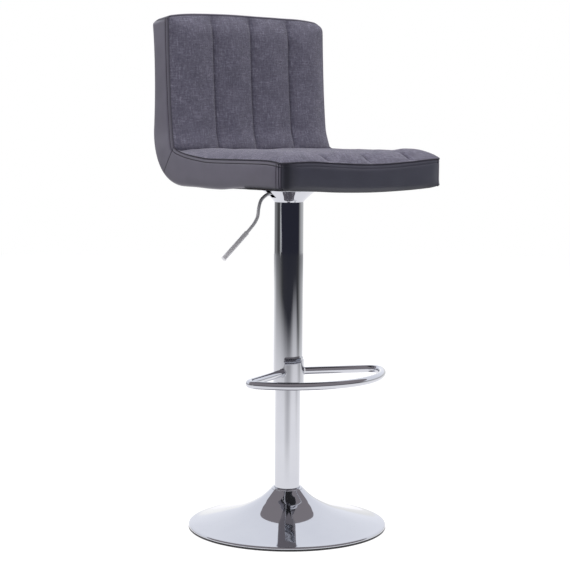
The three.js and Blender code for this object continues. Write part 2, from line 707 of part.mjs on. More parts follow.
// A wall that follows the sleeve, spread evenly to both sides of the front.
function sectorWall(inner, outer, halfAngle, bottom, top) {
  const line = [
    ...arcPoints(0, 0, outer, -90 - halfAngle, -90 + halfAngle, 16),
    ...arcPoints(0, 0, inner, -90 + halfAngle, -90 - halfAngle, 16),
  ];
  return prismZ(shapeOf(line), bottom, top);
}

// The saddle's front view: upright, with round upper corners.
function saddleFront(grow) {
  const half = (saddleInner + SADDLE_SHEET) * Math.sin(THREE.MathUtils.degToRad(SADDLE_HALF_ANGLE));
  const side = half + grow;
  const top = saddleTop + grow;
  const centre = side - SADDLE_CORNER_RADIUS;
  const outline = [
    [-side, saddleBottom - grow], [side, saddleBottom - grow],
    ...arcPoints(centre, top - SADDLE_CORNER_RADIUS, SADDLE_CORNER_RADIUS, 0, 90, 6),
    ...arcPoints(-centre, top - SADDLE_CORNER_RADIUS, SADDLE_CORNER_RADIUS, 90, 180, 6),
  ];
  return prismZ(shapeOf(outline), 0, 2 * SLEEVE_RADIUS).rotateX(Math.PI / 2);
}

const saddleInner = SLEEVE_RADIUS + FIT;

function makeSaddle(grow) {
  const angle = SADDLE_HALF_ANGLE + THREE.MathUtils.radToDeg(grow / saddleInner);
  const inner = saddleInner - grow;
  const wall = sectorWall(inner, saddleInner + SADDLE_SHEET + grow, angle,
    saddleBottom - grow, saddleTop - SADDLE_LIP + grow);
  const lip = sectorWall(inner, saddleInner + SADDLE_LIP_SHEET + grow, angle,
    saddleTop - SADDLE_LIP - 2, saddleTop + grow);
  return common(join(wall, lip), saddleFront(grow));
}

// Half of the plan: a straight leg, a corner and half of the front arc, by tangency.
function footrestPlan() {
  const slant = THREE.MathUtils.degToRad(REST_LEG_ANGLE);
  const along = new THREE.Vector2(Math.cos(slant), -Math.sin(slant));
  const inward = new THREE.Vector2(-Math.sin(slant), -Math.cos(slant));
  const arcCentre = new THREE.Vector2(0, REST_ARC_RADIUS - REST_FRONT);
  const start = new THREE.Vector2(0, -REST_LEG_OFFSET);
  const offset = start.clone().addScaledVector(inward, REST_CORNER_RADIUS).sub(arcCentre);
  const b = offset.dot(along);
  const reach = REST_ARC_RADIUS - REST_CORNER_RADIUS;
  const distance = -b + Math.sqrt(b * b - offset.lengthSq() + reach * reach);
  const corner = arcCentre.clone().add(offset).addScaledVector(along, distance);
  const cornerFrom = Math.atan2(-inward.y, -inward.x);
  const cornerTo = Math.atan2(corner.y - arcCentre.y, corner.x - arcCentre.x);
  const path = new THREE.Path();
  const legStart = start.clone().addScaledVector(along, SLEEVE_RADIUS * 0.7);
  const mirror = (angle) => Math.PI - angle;
  const legEnd = corner.clone().addScaledVector(inward, -REST_CORNER_RADIUS);
  path.moveTo(legStart.x, legStart.y);
  path.lineTo(legEnd.x, legEnd.y);
  path.absarc(corner.x, corner.y, REST_CORNER_RADIUS, cornerFrom, cornerTo, true);
  path.absarc(arcCentre.x, arcCentre.y, REST_ARC_RADIUS, cornerTo, mirror(cornerTo), true);
  path.absarc(-corner.x, corner.y, REST_CORNER_RADIUS, mirror(cornerTo), mirror(cornerFrom), true);
  path.lineTo(-legStart.x, legStart.y);
  return path;
}

function makeFootrestRing() {
  const curve = new LiftedPath(footrestPlan(), (x, y) => new THREE.Vector3(x, y, restHeight));
  const bar = barAlong(curve, REST_TUBE_RADIUS, 54, BAR_FACETS);
  const around = disc(saddleInner, saddleBottom, saddleTop);
  return cut(bar, around, makeSaddle(FIT));
}

addPart('footrest_saddle', makeSaddle(0), chrome);
addPart('footrest_ring', makeFootrestRing(), chrome);

// ---- Seat outlines, all in (y, z) ----------------------------------------------------

const halfWidth = SEAT_WIDTH / 2;
const innerHalf = halfWidth - COVER_THICKNESS - FIT;
const bendY = BACK_REAR - REAR_BEND;
const bendZ = SEAT_BOTTOM + REAR_BEND;
const frontArcZ = backTop - TOP_FRONT_RADIUS;
const topSeamZ = frontArcZ - TOP_STRIP_DROP;
const foldY = bendY - COVER_FOLD;
const BEND_STEPS = 10;

// Points on a curve that leaves a and reaches b, drawn towards a control point.
function bow(a, control, b, steps) {
  const [start, pull, end] = [a, control, b].map(([u, v]) => new THREE.Vector2(u, v));
  const curve = new THREE.QuadraticBezierCurve(start, pull, end);
  return curve.getPoints(steps).map((p) => [p.x, p.y]);
}

// From the underside, round the bend, up the rear face and over the top to the front seam.
function rearLine() {
  const topZ = backTop - TOP_REAR_RADIUS;
  const pull = (4 * backWaist - BACK_REAR - backTopRear) / 2;
  return [
    [foldY, SEAT_BOTTOM],
    ...arcPoints(bendY, bendZ, REAR_BEND, -90, 0, BEND_STEPS),
    ...bow([BACK_REAR, bendZ], [pull, (bendZ + topZ) / 2], [backTopRear, topZ], 6).slice(1),
    ...arcPoints(backTopRear - TOP_REAR_RADIUS, topZ, TOP_REAR_RADIUS, 0, 90, 5).slice(1),
    ...arcPoints(backSeamTop + TOP_FRONT_RADIUS, frontArcZ, TOP_FRONT_RADIUS, 90, 180, 3),
    [backSeamTop, topSeamZ],
  ];
}

// The front seam of the back, from the top down to the corner.
function backSeam() {
  const pull = [backSeamLow + 6, cornerZ + 77];
  return bow([backSeamTop, topSeamZ], pull, [cornerY, cornerZ], 8);
}

// The top seam of the seat, from the corner to the front.
function seatSeam() {
  const rampStart = [cornerY - SEAM_RAMP, seatSeamLevel];
  const ramp = bow([cornerY, cornerZ], [cornerY - SEAM_RAMP / 2, seatSeamLevel + 2], rampStart, 6);
  return [...ramp, [-SEAT_FRONT, seatSeamLevel]];
}

// Reads a line at a given value of one coordinate, straight between its points.
function readLine(line, value, key, result) {
  const sorted = [...line].sort((a, b) => a[key] - b[key]);
  const clamped = Math.min(Math.max(value, sorted[0][key]), sorted.at(-1)[key]);
  const i = Math.max(1, sorted.findIndex((p) => p[key] >= clamped));
  const [a, b] = [sorted[i - 1], sorted[i]];
  const share = (clamped - a[key]) / (b[key] - a[key]);
  return a[result] + (b[result] - a[result]) * share;
}
const seatSeamZ = (y) => readLine(seatSeam(), y, 0, 1);
const backSeamY = (z) => readLine(backSeam(), z, 1, 0);

// The strip between two lines drawn beside one line.
function band(line, low, high) {
  return [...offsetLine(line, low), ...offsetLine(line, high).reverse()];
}

function frontLine(inset) {
  const radius = FRONT_LOWER_RADIUS;
  const centre = [-SEAT_FRONT + radius, SEAT_BOTTOM + radius];
  return [[-SEAT_FRONT + inset, seatSeamLevel],
    ...arcPoints(...centre, radius - inset, 180, 270, 5)];
}

// ---- Frame inside the seat -----------------------------------------------------------

const dustTop = SEAT_BOTTOM + DUST_COVER_THICKNESS;
const boardBottom = dustTop + FIT;
const boardTop = boardBottom + BOARD_THICKNESS;
const boardHalf = halfWidth - BOARD_MARGIN;
const backBoardFront = backBoardRear - BOARD_THICKNESS;
const strapHalf = STRAP_THICKNESS / 2;
const strapLow = boardTop + FIT + strapHalf;
const strapBack = backBoardFront - FIT - strapHalf;
const strapXs = [-STRAP_SPREAD, STRAP_SPREAD];
const woodHole = WOOD_SCREW_RADIUS + FIT;
const screwSpots = [STRAP_SCREW_INSET, STRAP_SCREW_INSET + STRAP_SCREW_PITCH];
const nutHole = TEE_NUT_BARREL_RADIUS + FIT;

function strapLine(extra) {
  const centre = [strapBack - STRAP_BEND, strapLow + STRAP_BEND];
  return [[STRAP_FRONT - extra, strapLow], ...arcPoints(...centre, STRAP_BEND, -90, 0, 8),
    [strapBack, strapTop + extra]];
}

// A peg along +Z or, for the back, along +Y, from one distance to another.
function seatPeg(radius, x, along, from, to) {
  return disc(radius, from, to, SMALL_ROUND).translate(x, STRAP_FRONT + along, 0);
}

function backPeg(radius, x, along, from, to) {
  return disc(radius, from, to, SMALL_ROUND).rotateX(-Math.PI / 2)
    .translate(x, 0, strapTop - along);
}

function seatPegs(radius, from, to) {
  return strapXs.flatMap((x) => screwSpots.map((spot) => seatPeg(radius, x, spot, from, to)));
}

function backPegs(radius, from, to) {
  return strapXs.flatMap((x) => screwSpots.map((spot) => backPeg(radius, x, spot, from, to)));
}

function makeStrap(x) {
  const half = STRAP_WIDTH / 2;
  const strap = prismX(band(strapLine(0), -strapHalf, strapHalf), x - half, x + half);
  const holes = screwSpots.flatMap((spot) => [
    seatPeg(woodHole, x, spot, boardTop, boardTop + 10),
    backPeg(woodHole, x, spot, strapBack - 5, strapBack + 5),
  ]);
  return cut(strap, ...holes);
}

function makeWoodScrew(peg, x, spot, face, inward) {
  const head = [face, face - inward * WOOD_SCREW_HEAD_HEIGHT].sort((a, b) => a - b);
  const tip = face + inward * WOOD_SCREW_LENGTH;
  const shank = [face - inward * 0.5, tip].sort((a, b) => a - b);
  return join(peg(WOOD_SCREW_HEAD_RADIUS, x, spot, ...head),
    peg(WOOD_SCREW_RADIUS, x, spot, ...shank));
}

// The room that the straps and their screw heads take out of the foam.
function strapRoom() {
  const half = STRAP_WIDTH / 2 + FIT;
  const outline = band(strapLine(FIT), -strapHalf - 2 * FIT,
    strapHalf + WOOD_SCREW_HEAD_HEIGHT + 2 * FIT);
  return strapXs.map((x) => prismX(outline, x - half, x + half));
}

function makeTeeNut() {
  const top = boardTop + FIT + TEE_NUT_FLANGE;
  const foot = boardBottom + 3;
  return turned([
    [seatHole, foot], [TEE_NUT_BARREL_RADIUS, foot], [TEE_NUT_BARREL_RADIUS, boardTop + FIT],
    [TEE_NUT_FLANGE_RADIUS, boardTop + FIT], [TEE_NUT_FLANGE_RADIUS, top], [seatHole, top],
    [seatHole, foot],
  ], SMALL_ROUND);
}

function makeSeatScrew() {
  const face = plateUnderside - FIT;
  const head = disc(SEAT_SCREW_HEAD_RADIUS, face - SEAT_SCREW_HEAD_HEIGHT, face, SMALL_ROUND);
  return join(head, disc(SEAT_SCREW_RADIUS, face - 1, face + SEAT_SCREW_LENGTH, SMALL_ROUND));
}

const seatBoard = prismX([
  [-SEAT_FRONT + BOARD_MARGIN, boardBottom], [foldY - FIT, boardBottom],
  [foldY - FIT, boardTop], [-SEAT_FRONT + BOARD_MARGIN, boardTop],
], -boardHalf, boardHalf);
const backBoard = box(-boardHalf, boardHalf, backBoardFront, backBoardRear,
  cornerZ, backTop - BACK_BOARD_DROP);
addPart('seat_board', cut(seatBoard, ...screwHoles(nutHole, boardBottom - 5, boardTop + 5),
  ...seatPegs(woodHole, boardBottom - 5, boardTop + 5)), plywood);
addPart('back_board', cut(backBoard, ...backPegs(woodHole, backBoardFront - 5,
  backBoardRear + 5)), plywood);

const sides = ['right', 'left'];
const places = ['front', 'rear'];
strapXs.forEach((x, i) => {
  addPart(`frame_strap_${sides[i]}`, makeStrap(x), blackSteel);
  screwSpots.forEach((spot, k) => {
    addPart(`seat_strap_screw_${sides[i]}_${places[k]}`,
      makeWoodScrew(seatPeg, x, spot, strapLow + strapHalf + FIT, -1), zincSteel);
    addPart(`back_strap_screw_${sides[i]}_${['upper', 'lower'][k]}`,
      makeWoodScrew(backPeg, x, spot, strapBack - strapHalf - FIT, 1), zincSteel);
  });
});
corners.forEach(([sx, sy], i) => {
  const move = [sx * holeOffset, sy * holeOffset, 0];
  addPart(`seat_screw_${i + 1}`, makeSeatScrew().translate(...move), zincSteel);
  addPart(`tee_nut_${i + 1}`, makeTeeNut().translate(...move), zincSteel);
});

// ---- Foam and covers -----------------------------------------------------------------

const coverSag = REAR_BEND * (1 - Math.cos(Math.PI / 4 / BEND_STEPS));
const foamBend = REAR_BEND - COVER_THICKNESS - FIT - coverSag;
const foamFloor = boardTop + FIT;
const MITRE_ANGLE = -45;            // where the two foams meet on the bend, in degrees
const MITRE_GAP = 0.25;             // half of the gap between them, in degrees
const bendAngleAtZ = (z) => THREE.MathUtils.radToDeg(Math.asin((z - bendZ) / foamBend));
const bendAngleAtY = (y) => -THREE.MathUtils.radToDeg(Math.acos((y - bendY) / foamBend));

function makeSeatFoam() {
  const seam = seatSeam().map(([y, z]) => [Math.max(y, -SEAT_FRONT + COVER_THICKNESS + FIT), z]);
  seam[0] = [cornerY - 1, seatSeamZ(cornerY - 1)];
  const bend = arcPoints(bendY, bendZ, foamBend, bendAngleAtZ(foamFloor),
    MITRE_ANGLE - MITRE_GAP, 3);
  const outline = [[-SEAT_FRONT + COVER_THICKNESS + FIT, foamFloor], ...bend, ...seam];
  const pockets = screwHoles(TEE_NUT_FLANGE_RADIUS + FIT, foamFloor - 5,
    foamFloor + TEE_NUT_FLANGE + FIT);
  return cut(prismX(outline, -innerHalf, innerHalf), ...strapRoom(), ...pockets);
}

function makeBackFoam() {
  const face = backBoardFront - FIT;
  const top = backTop - COVER_THICKNESS - FIT;
  const lipRear = backSeamTop + COVER_THICKNESS + FIT;
  const seam = backSeam();
  seam[0] = [backSeamTop, topSeamZ - FIT];
  const outline = [
    ...arcPoints(bendY, bendZ, foamBend, MITRE_ANGLE + MITRE_GAP, bendAngleAtY(face), 2),
    [face, top], [lipRear + 4, top], [lipRear, topSeamZ - FIT], ...seam,
  ];
  return cut(prismX(outline, -innerHalf, innerHalf), ...strapRoom());
}

// Columns across a quilted panel: close together at the sewn channels.
function panelColumns() {
  const channel = SEAT_WIDTH / CHANNEL_COUNT;
  const steps = [0, 0.05, 0.12, 0.25, 0.5, 0.75, 0.88, 0.95];
  const starts = Array.from({ length: CHANNEL_COUNT }, (_, i) => -halfWidth + i * channel);
  return [...starts.flatMap((start) => steps.map((s) => start + s * channel)), halfWidth];
}

function panelRows(from, to) {
  const shares = [0, 0.012, 0.035, 0.075, 0.14, 0.25, 0.5, 0.75, 0.86, 0.925, 0.965, 0.988, 1];
  return shares.map((s) => from + (to - from) * s);
}

// Rises in a quarter round from 0 at a seam to 1 at CROWN_ROLL from it.
function roll(distance) {
  return Math.sqrt(1 - (1 - Math.min(distance / CROWN_ROLL, 1)) ** 2);
}

function quiltHeight(x, outerDistance, innerDistance, crown) {
  const channel = SEAT_WIDTH / CHANNEL_COUNT;
  const line = Math.round(x / channel) * channel;
  const isSewn = Math.abs(line) < halfWidth - 1;
  const near = isSewn ? Math.max(0, 1 - Math.abs(x - line) / CHANNEL_WIDTH) : 0;
  const rise = roll(halfWidth - Math.abs(x)) * roll(outerDistance);
  const height = PANEL_EDGE + crown * rise - CHANNEL_DEPTH * near ** 2 * rise;
  return Math.min(height, PANEL_EDGE + 0.9 * innerDistance);
}

// A closed slab: a quilted face over a grid, a plain back ruled across it, and flat sides.
function quiltedSlab(columns, rows, baseAt, faceAt) {
  const wide = columns.length;
  const ends = [columns[0], columns.at(-1)];
  const positions = [
    ...rows.flatMap((v) => columns.flatMap((x) => faceAt(x, v))),
    ...rows.flatMap((v) => ends.flatMap((x) => baseAt(x, v))),
  ];
  const index = [];
  const base = (r, side) => wide * rows.length + 2 * r + side;
  const quad = (a, b, c, d) => index.push(a, b, c, a, c, d);
  for (let r = 0; r < rows.length - 1; r += 1) {
    const [near, far] = [r * wide, (r + 1) * wide];
    for (let c = 0; c < wide - 1; c += 1) {
      quad(near + c, near + c + 1, far + c + 1, far + c);
    }
    quad(base(r, 1), base(r, 0), base(r + 1, 0), base(r + 1, 1));
    quad(far, base(r + 1, 0), base(r, 0), near);
    quad(near + wide - 1, base(r, 1), base(r + 1, 1), far + wide - 1);
  }
  const last = rows.length - 1;
  for (let c = 0; c < wide - 1; c += 1) {
    index.push(c + 1, c, base(0, 0));
    index.push(last * wide + c, last * wide + c + 1, base(last, 0));
  }
  index.push(wide - 1, base(0, 0), base(0, 1));
  index.push(last * wide + wide - 1, base(last, 1), base(last, 0));
  const geometry = new THREE.BufferGeometry();
  geometry.setAttribute('position', new THREE.BufferAttribute(new Float32Array(positions), 3));
  geometry.setIndex(index);
  return tidy(geometry);
}

function makeSeatPanel() {
  const rear = cornerY - 3;
  const faceAt = (x, y) => {
    const height = quiltHeight(x, y + SEAT_FRONT, rear - y, SEAT_CROWN);
    return [x, y, seatSeamZ(y) + FIT + height];
  };
  const baseAt = (x, y) => [x, y, seatSeamZ(y) + FIT];
  return quiltedSlab(panelColumns(), panelRows(-SEAT_FRONT, rear), baseAt, faceAt);
}

function makeBackPanel() {
  const bottom = cornerZ + 3;
  const faceAt = (x, z) => {
    const height = quiltHeight(x, topSeamZ - z, z - bottom, BACK_CROWN);
    return [x, backSeamY(z) - FIT - height, z];
  };
  const baseAt = (x, z) => [x, backSeamY(z) - FIT, z];
  return quiltedSlab(panelColumns(), panelRows(bottom, topSeamZ), baseAt, faceAt);
}

function makeSideCover(side) {
  const outline = [...frontLine(0), ...rearLine(), ...backSeam().slice(1), ...seatSeam().slice(1, -1)];
  const inner = side * (halfWidth - COVER_THICKNESS);
  const [x0, x1] = [inner, side * halfWidth].sort((a, b) => a - b);
  return prismX(outline, x0, x1);
}

const frontCover = [...frontLine(0), ...frontLine(COVER_THICKNESS).reverse()];
const dustFront = -SEAT_FRONT + FRONT_LOWER_RADIUS + FIT;
const dustCover = box(-innerHalf, innerHalf, dustFront, foldY - FIT, SEAT_BOTTOM, dustTop);
addPart('seat_foam', makeSeatFoam(), foam);
addPart('back_foam', makeBackFoam(), foam);
addPart('seat_panel', makeSeatPanel(), linen);
addPart('back_panel', makeBackPanel(), linen);
addPart('side_cover_right', makeSideCover(-1), leather);
addPart('side_cover_left', makeSideCover(1), leather);
addPart('front_cover', prismX(frontCover, -innerHalf, innerHalf), leather);
addPart('rear_cover', prismX(band(rearLine(), 0, COVER_THICKNESS), -innerHalf, innerHalf), leather);
addPart('dust_cover', cut(dustCover, ...screwHoles(seatHole, SEAT_BOTTOM - 5, dustTop + 5)),
  dustCloth);

export default group;
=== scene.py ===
import math

import bmesh
import bpy
import numpy as np
from mathutils import Matrix, Vector, noise


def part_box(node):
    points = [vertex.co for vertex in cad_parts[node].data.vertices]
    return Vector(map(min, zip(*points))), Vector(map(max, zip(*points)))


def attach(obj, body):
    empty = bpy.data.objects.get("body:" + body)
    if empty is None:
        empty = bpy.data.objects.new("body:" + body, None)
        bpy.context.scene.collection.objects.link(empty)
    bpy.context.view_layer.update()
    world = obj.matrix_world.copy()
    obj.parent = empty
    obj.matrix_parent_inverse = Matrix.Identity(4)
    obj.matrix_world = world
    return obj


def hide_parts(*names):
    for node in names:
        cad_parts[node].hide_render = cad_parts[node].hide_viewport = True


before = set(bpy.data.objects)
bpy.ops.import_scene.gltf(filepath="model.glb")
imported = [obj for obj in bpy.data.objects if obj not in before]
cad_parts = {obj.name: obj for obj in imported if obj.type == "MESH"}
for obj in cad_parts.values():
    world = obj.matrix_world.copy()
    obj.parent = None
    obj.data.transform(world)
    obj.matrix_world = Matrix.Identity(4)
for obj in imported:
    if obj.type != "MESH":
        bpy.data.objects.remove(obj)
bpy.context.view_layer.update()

# ---- Camera --------------------------------------------------------------------------
# A long lens just above the height of the seat, in front of the stool's right corner and
# far enough away that upright lines stay upright.

CAMERA_PLACE = (-1.9745, -2.4823, 0.8251)
CAMERA_TURNS = ((-38.375, "Z"), (84.2, "X"), (0.346, "Z"))


def link(name, data):
    """A new object in the scene, from its mesh, camera or lamp."""
    made = bpy.data.objects.new(name, data)
    bpy.context.collection.objects.link(made)
    return made


camera = link("studio_camera", bpy.data.cameras.new("studio_camera"))
camera.data.lens = 98.2
camera.data.sensor_width = 36
camera_turn = Matrix.Identity(4)
for angle, axis in CAMERA_TURNS:
    camera_turn @= Matrix.Rotation(math.radians(angle), 4, axis)
camera.matrix_world = Matrix.Translation(CAMERA_PLACE) @ camera_turn
bpy.context.scene.camera = camera
bpy.context.scene.view_settings.view_transform = "Standard"

# ---- Studio --------------------------------------------------------------------------
# A white paper floor and backdrop behind the stool, and a dark room in front of it. The
# chrome shows both: pale paper close by and behind, dark walls in front, one strip light.


class Wire:
    """A number, colour or vector on its way from node to node."""

    def __init__(self, graph, socket):
        self.graph = graph
        self.socket = socket

    def through(self, operation, *others):
        """The result of a Math node, with this number first."""
        values = dict(enumerate([self, *others]))
        return self.graph.node("ShaderNodeMath", {"operation": operation}, values)

    def flipped(self, operation, other):
        """The same, with this number second."""
        settings = {"operation": operation}
        return self.graph.node("ShaderNodeMath", settings, {0: other, 1: self})

    def __add__(self, other):
        return self.through("ADD", other)

    def __sub__(self, other):
        return self.through("SUBTRACT", other)

    def __rsub__(self, other):
        return self.flipped("SUBTRACT", other)

    def __mul__(self, other):
        return self.through("MULTIPLY", other)

    def __truediv__(self, other):
        return self.through("DIVIDE", other)

    def __gt__(self, other):
        return self.through("GREATER_THAN", other)

    __radd__ = __add__
    __rmul__ = __mul__


class Graph:
    """A material, a world or a geometry tree that is built node by node."""

    def __init__(self, tree):
        self.tree = tree
        tree.nodes.clear()

    def node(self, kind, settings=None, values=None, out=0):
        made = self.tree.nodes.new(kind)
        for key, value in (settings or {}).items():
            if key == "stops":
                ramp = made.color_ramp
                ramp.elements[0].position = value[0][0]
                ramp.elements[1].position = value[-1][0]
                for place, _ in value[1:-1]:
                    ramp.elements.new(place)
                for element, (_, shade) in zip(ramp.elements, value):
                    grey = not hasattr(shade, "__len__")
                    element.color = (shade, shade, shade, 1) if grey else (*shade, 1)
            else:
                setattr(made, key, value)
        for key, value in (values or {}).items():
            if isinstance(value, Wire):
                self.tree.links.new(value.socket, made.inputs[key])
            else:
                made.inputs[key].default_value = value
        return Wire(self, made.outputs[out] if made.outputs else None)

    def place(self):
        """The point on the piece, in the piece's own coordinates."""
        return self.node("ShaderNodeTexCoord", {}, {}, 3)

    def part(self, vector, axis):
        """The x, y or z of a vector."""
        return self.node("ShaderNodeSeparateXYZ", {}, {0: vector}, axis)

    def ramp(self, factor, *stops):
        return self.node("ShaderNodeValToRGB", {"stops": stops}, {0: factor})

    def fade(self, value, start, end):
        """0 before start, 1 after end, and smooth in between."""
        values = {"Value": value, "From Min": start, "From Max": end}
        return self.node("ShaderNodeMapRange", {"interpolation_type": "SMOOTHSTEP"}, values)

    def blend(self, share, first, second):
        """Mixes two colours."""
        values = {0: share, 6: first, 7: second}
        return self.node("ShaderNodeMix", {"data_type": "RGBA"}, values, 2)

    def between(self, share, first, second):
        """Mixes two numbers."""
        return self.node("ShaderNodeMix", {}, {0: share, 2: first, 3: second})


# Each list gives a shade or a share at bearings from straight ahead, in degrees.
DARK = (0.030, 0.031, 0.046)
DIM = (0.05, 0.05, 0.06)
WALLS = [
    (-180, 1.15), (-155, 1.2), (-140, 0.42), (-126, 0.28), (-112, 0.3), (-100, 0.16),
    (-88, 0.07), (-72, 0.13), (-67, 0.9), (-61, 0.1), (-56, DARK), (85, DARK), (93, 0.24),
    (104, 0.46), (118, 0.62), (136, 0.7), (152, 0.76), (168, 0.9), (180, 1.15),
]
FLOOR_FAR = [
    (-180, 1.15), (-150, 1.25), (-128, 1.0), (-112, 0.58), (-99, 0.42), (-77, 0.29),
    (-59, 0.15), (-50, 0.08), (-40, DIM), (0, (0.042, 0.043, 0.055)), (60, DIM), (84, 0.08),
    (91, 0.24), (104, 0.44), (118, 0.62), (136, 0.72), (152, 0.9), (180, 1.15),
]
# How much closer than straight ahead the floor seems, so that it turns pale sooner.
FLOOR_PULL = [
    (-180, 0.7), (-60, 0.72), (-40, 0.78), (-25, 0.88), (-12, 0.93), (0, 1.0), (15, 0.97),
    (28, 0.82), (42, 0.66), (64, 0.64), (78, 0.87), (90, 1.1), (104, 0.9), (180, 0.7),
]
# A dim patch of floor straight ahead, close to the stool.
NEAR_SHADE = [(-180, 0), (-34, 0), (-14, 0.24), (-2, 0.3), (12, 0.22), (30, 0), (180, 0)]
TOWARDS_ROOM = (-0.6225, -0.7826)
PAPER_RISE = 1.19
PAPER_SHADE = (1.05, 1.07, 1.145, 1)
CEILING_SHADE = (0.30, 0.275, 0.295, 1)
WALL_TOP = (0.08, 0.16)
WHITE = (1, 1, 1, 1)
FLOOR_RADIUS = 7
FLOOR_NEAR = (1.19, 1.18, 1.21, 1)
FLOOR_MATT = (0.32, 0.32, 0.33, 1)
# Distances from the stool between which the floor changes, and by how much at most.
NEAR_TO_FAR = (0.6, 3.6)
FAR_TO_DARK = (4.2, 6.9)
FAR_DARKENING = 0.45
DIM_FROM = (0.3, 1.1)
DIM_UNTIL = (1.6, 2.7)
# The floor's own light: to the camera, and how much less of it falls on matt pieces.
OWN_LIGHT = 0.86
MATT_LOSS = 0.55
LAMP_AIM = Vector((0, 0, 0.75))


def bearing(graph, direction):
    """The compass bearing of a direction, 0 to 1, with 0.5 towards the dark room."""
    x, y = graph.part(direction, 0), graph.part(direction, 1)
    ahead = x * TOWARDS_ROOM[0] + y * TOWARDS_ROOM[1]
    aside = y * TOWARDS_ROOM[0] - x * TOWARDS_ROOM[1]
    return aside.through("ARCTAN2", ahead) / (2 * math.pi) + 0.5


def turn_stops(stops):
    return [(angle / 360 + 0.5, shade) for angle, shade in stops]


def light_room():
    world = bpy.data.worlds.new("studio")
    bpy.context.scene.world = world
    world.use_nodes = True
    g = Graph(world.node_tree)
    direction = g.node("ShaderNodeTexCoord")
    x, y, height = (g.part(direction, i) for i in range(3))
    behind = x * -TOWARDS_ROOM[0] + y * -TOWARDS_ROOM[1]
    walls = g.ramp(bearing(g, direction), *turn_stops(WALLS))
    uppers = g.blend(behind * PAPER_RISE > height, CEILING_SHADE, PAPER_SHADE)
    shade = g.blend(g.fade(height, *WALL_TOP), walls, uppers)
    seen = g.node("ShaderNodeLightPath")
    shade = g.blend(seen, shade, WHITE)
    surface = g.node("ShaderNodeBackground", {}, {0: shade})
    g.node("ShaderNodeOutputWorld", {}, {0: surface})


def lay_floor():
    form = bmesh.new()
    bmesh.ops.create_circle(form, cap_ends=True, segments=96, radius=FLOOR_RADIUS)
    mesh = bpy.data.meshes.new("paper_floor")
    form.to_mesh(mesh)
    form.free()
    floor = link("paper_floor", mesh)
    paper = bpy.data.materials.new("studio_paper")
    paper.use_nodes = True
    g = Graph(paper.node_tree)
    place = g.place()
    reach = g.node("ShaderNodeVectorMath", {"operation": "LENGTH"}, {0: place}, 1)
    far = g.ramp(bearing(g, place), *turn_stops(FLOOR_FAR))
    far = g.blend(g.fade(reach, *FAR_TO_DARK) * FAR_DARKENING, far, (*DARK, 1))
    pull = g.ramp(bearing(g, place), *turn_stops(FLOOR_PULL))
    glow = g.blend(g.fade(reach * pull, *NEAR_TO_FAR), FLOOR_NEAR, far)
    dim = g.ramp(bearing(g, place), *turn_stops(NEAR_SHADE))
    dim = dim * g.fade(reach, *DIM_FROM) * (1 - g.fade(reach, *DIM_UNTIL))
    glow = g.blend(dim, glow, (*DIM, 1))
    matt_ray = g.node("ShaderNodeLightPath", {}, {}, 2)
    room = g.node("ShaderNodeEmission", {}, {0: glow, 1: 1 - matt_ray * MATT_LOSS})
    white = g.node("ShaderNodeEmission", {}, {0: WHITE, 1: OWN_LIGHT})
    matt = g.node("ShaderNodeBsdfDiffuse", {}, {0: FLOOR_MATT})
    lit = g.node("ShaderNodeAddShader", {}, {0: white, 1: matt})
    seen = g.node("ShaderNodeLightPath")
    surface = g.node("ShaderNodeMixShader", {}, {0: seen, 1: room, 2: lit})
    g.node("ShaderNodeOutputMaterial", {}, {0: surface})
    mesh.materials.append(paper)


def hang_lamp(name, place, size, power):
    """A square softbox, aimed at the stool, that the chrome doesn't show."""
    lamp = link(name, bpy.data.lights.new(name, "AREA"))
    lamp.data.size = size
    lamp.data.energy = power
    lamp.location = place
    aim = LAMP_AIM - Vector(place)
    lamp.rotation_euler = aim.to_track_quat("-Z", "Y").to_euler()
    lamp.visible_glossy = False


light_room()
lay_floor()
hang_lamp("top_softbox", (-0.3, 0.0, 3.3), size=2.4, power=58)
hang_lamp("side_softbox", (-3.0, -0.4, 1.9), size=1.8, power=30)
hang_lamp("front_softbox", (2.1, -2.4, 1.9), size=1.2, power=36)

# ---- Floor guard ---------------------------------------------------------------------
# One moulding of black plastic: a sheet with an upstanding rim that the weight sits in,
# and shallow rings moulded under it, which the stool stands on.


def new_mesh(name, points, edges, faces, marks=None):
    """A mesh, with a number for each of its points under each label of the marks."""
    mesh = bpy.data.meshes.new(name)
    mesh.from_pydata([tuple(map(float, p)) for p in points], edges, faces)
    for label, values in (marks or {}).items():
        layer = mesh.attributes.new(label, "FLOAT", "POINT")
        layer.data.foreach_set("value", np.ravel(values))
    return mesh


def put(name, points, faces, finish, crease=32, weave=None, marks=None):
    """Links a mesh with its faces outwards, smooth but for its sharp edges."""
    mesh = new_mesh(name, points, [], faces, marks)
    if weave is not None:
        corner = np.zeros(len(mesh.loops), int)
        mesh.loops.foreach_get("vertex_index", corner)
        layer = mesh.uv_layers.new(name="weave")
        layer.data.foreach_set("uv", np.asarray(weave, float)[corner].ravel())
    form = bmesh.new()
    form.from_mesh(mesh)
    bmesh.ops.remove_doubles(form, verts=form.verts, dist=1e-6)
    bmesh.ops.dissolve_degenerate(form, edges=form.edges, dist=1e-7)
    bmesh.ops.recalc_face_normals(form, faces=form.faces)
    form.to_mesh(mesh)
    form.free()
    mesh.polygons.foreach_set("use_smooth", [True] * len(mesh.polygons))
    mesh.set_sharp_from_angle(angle=math.radians(crease))
    mesh.materials.append(finish)
    return link(name, mesh)


def place_on(piece, body, slot, *nodes):
    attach(piece, body)
    if nodes:
        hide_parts(*nodes)


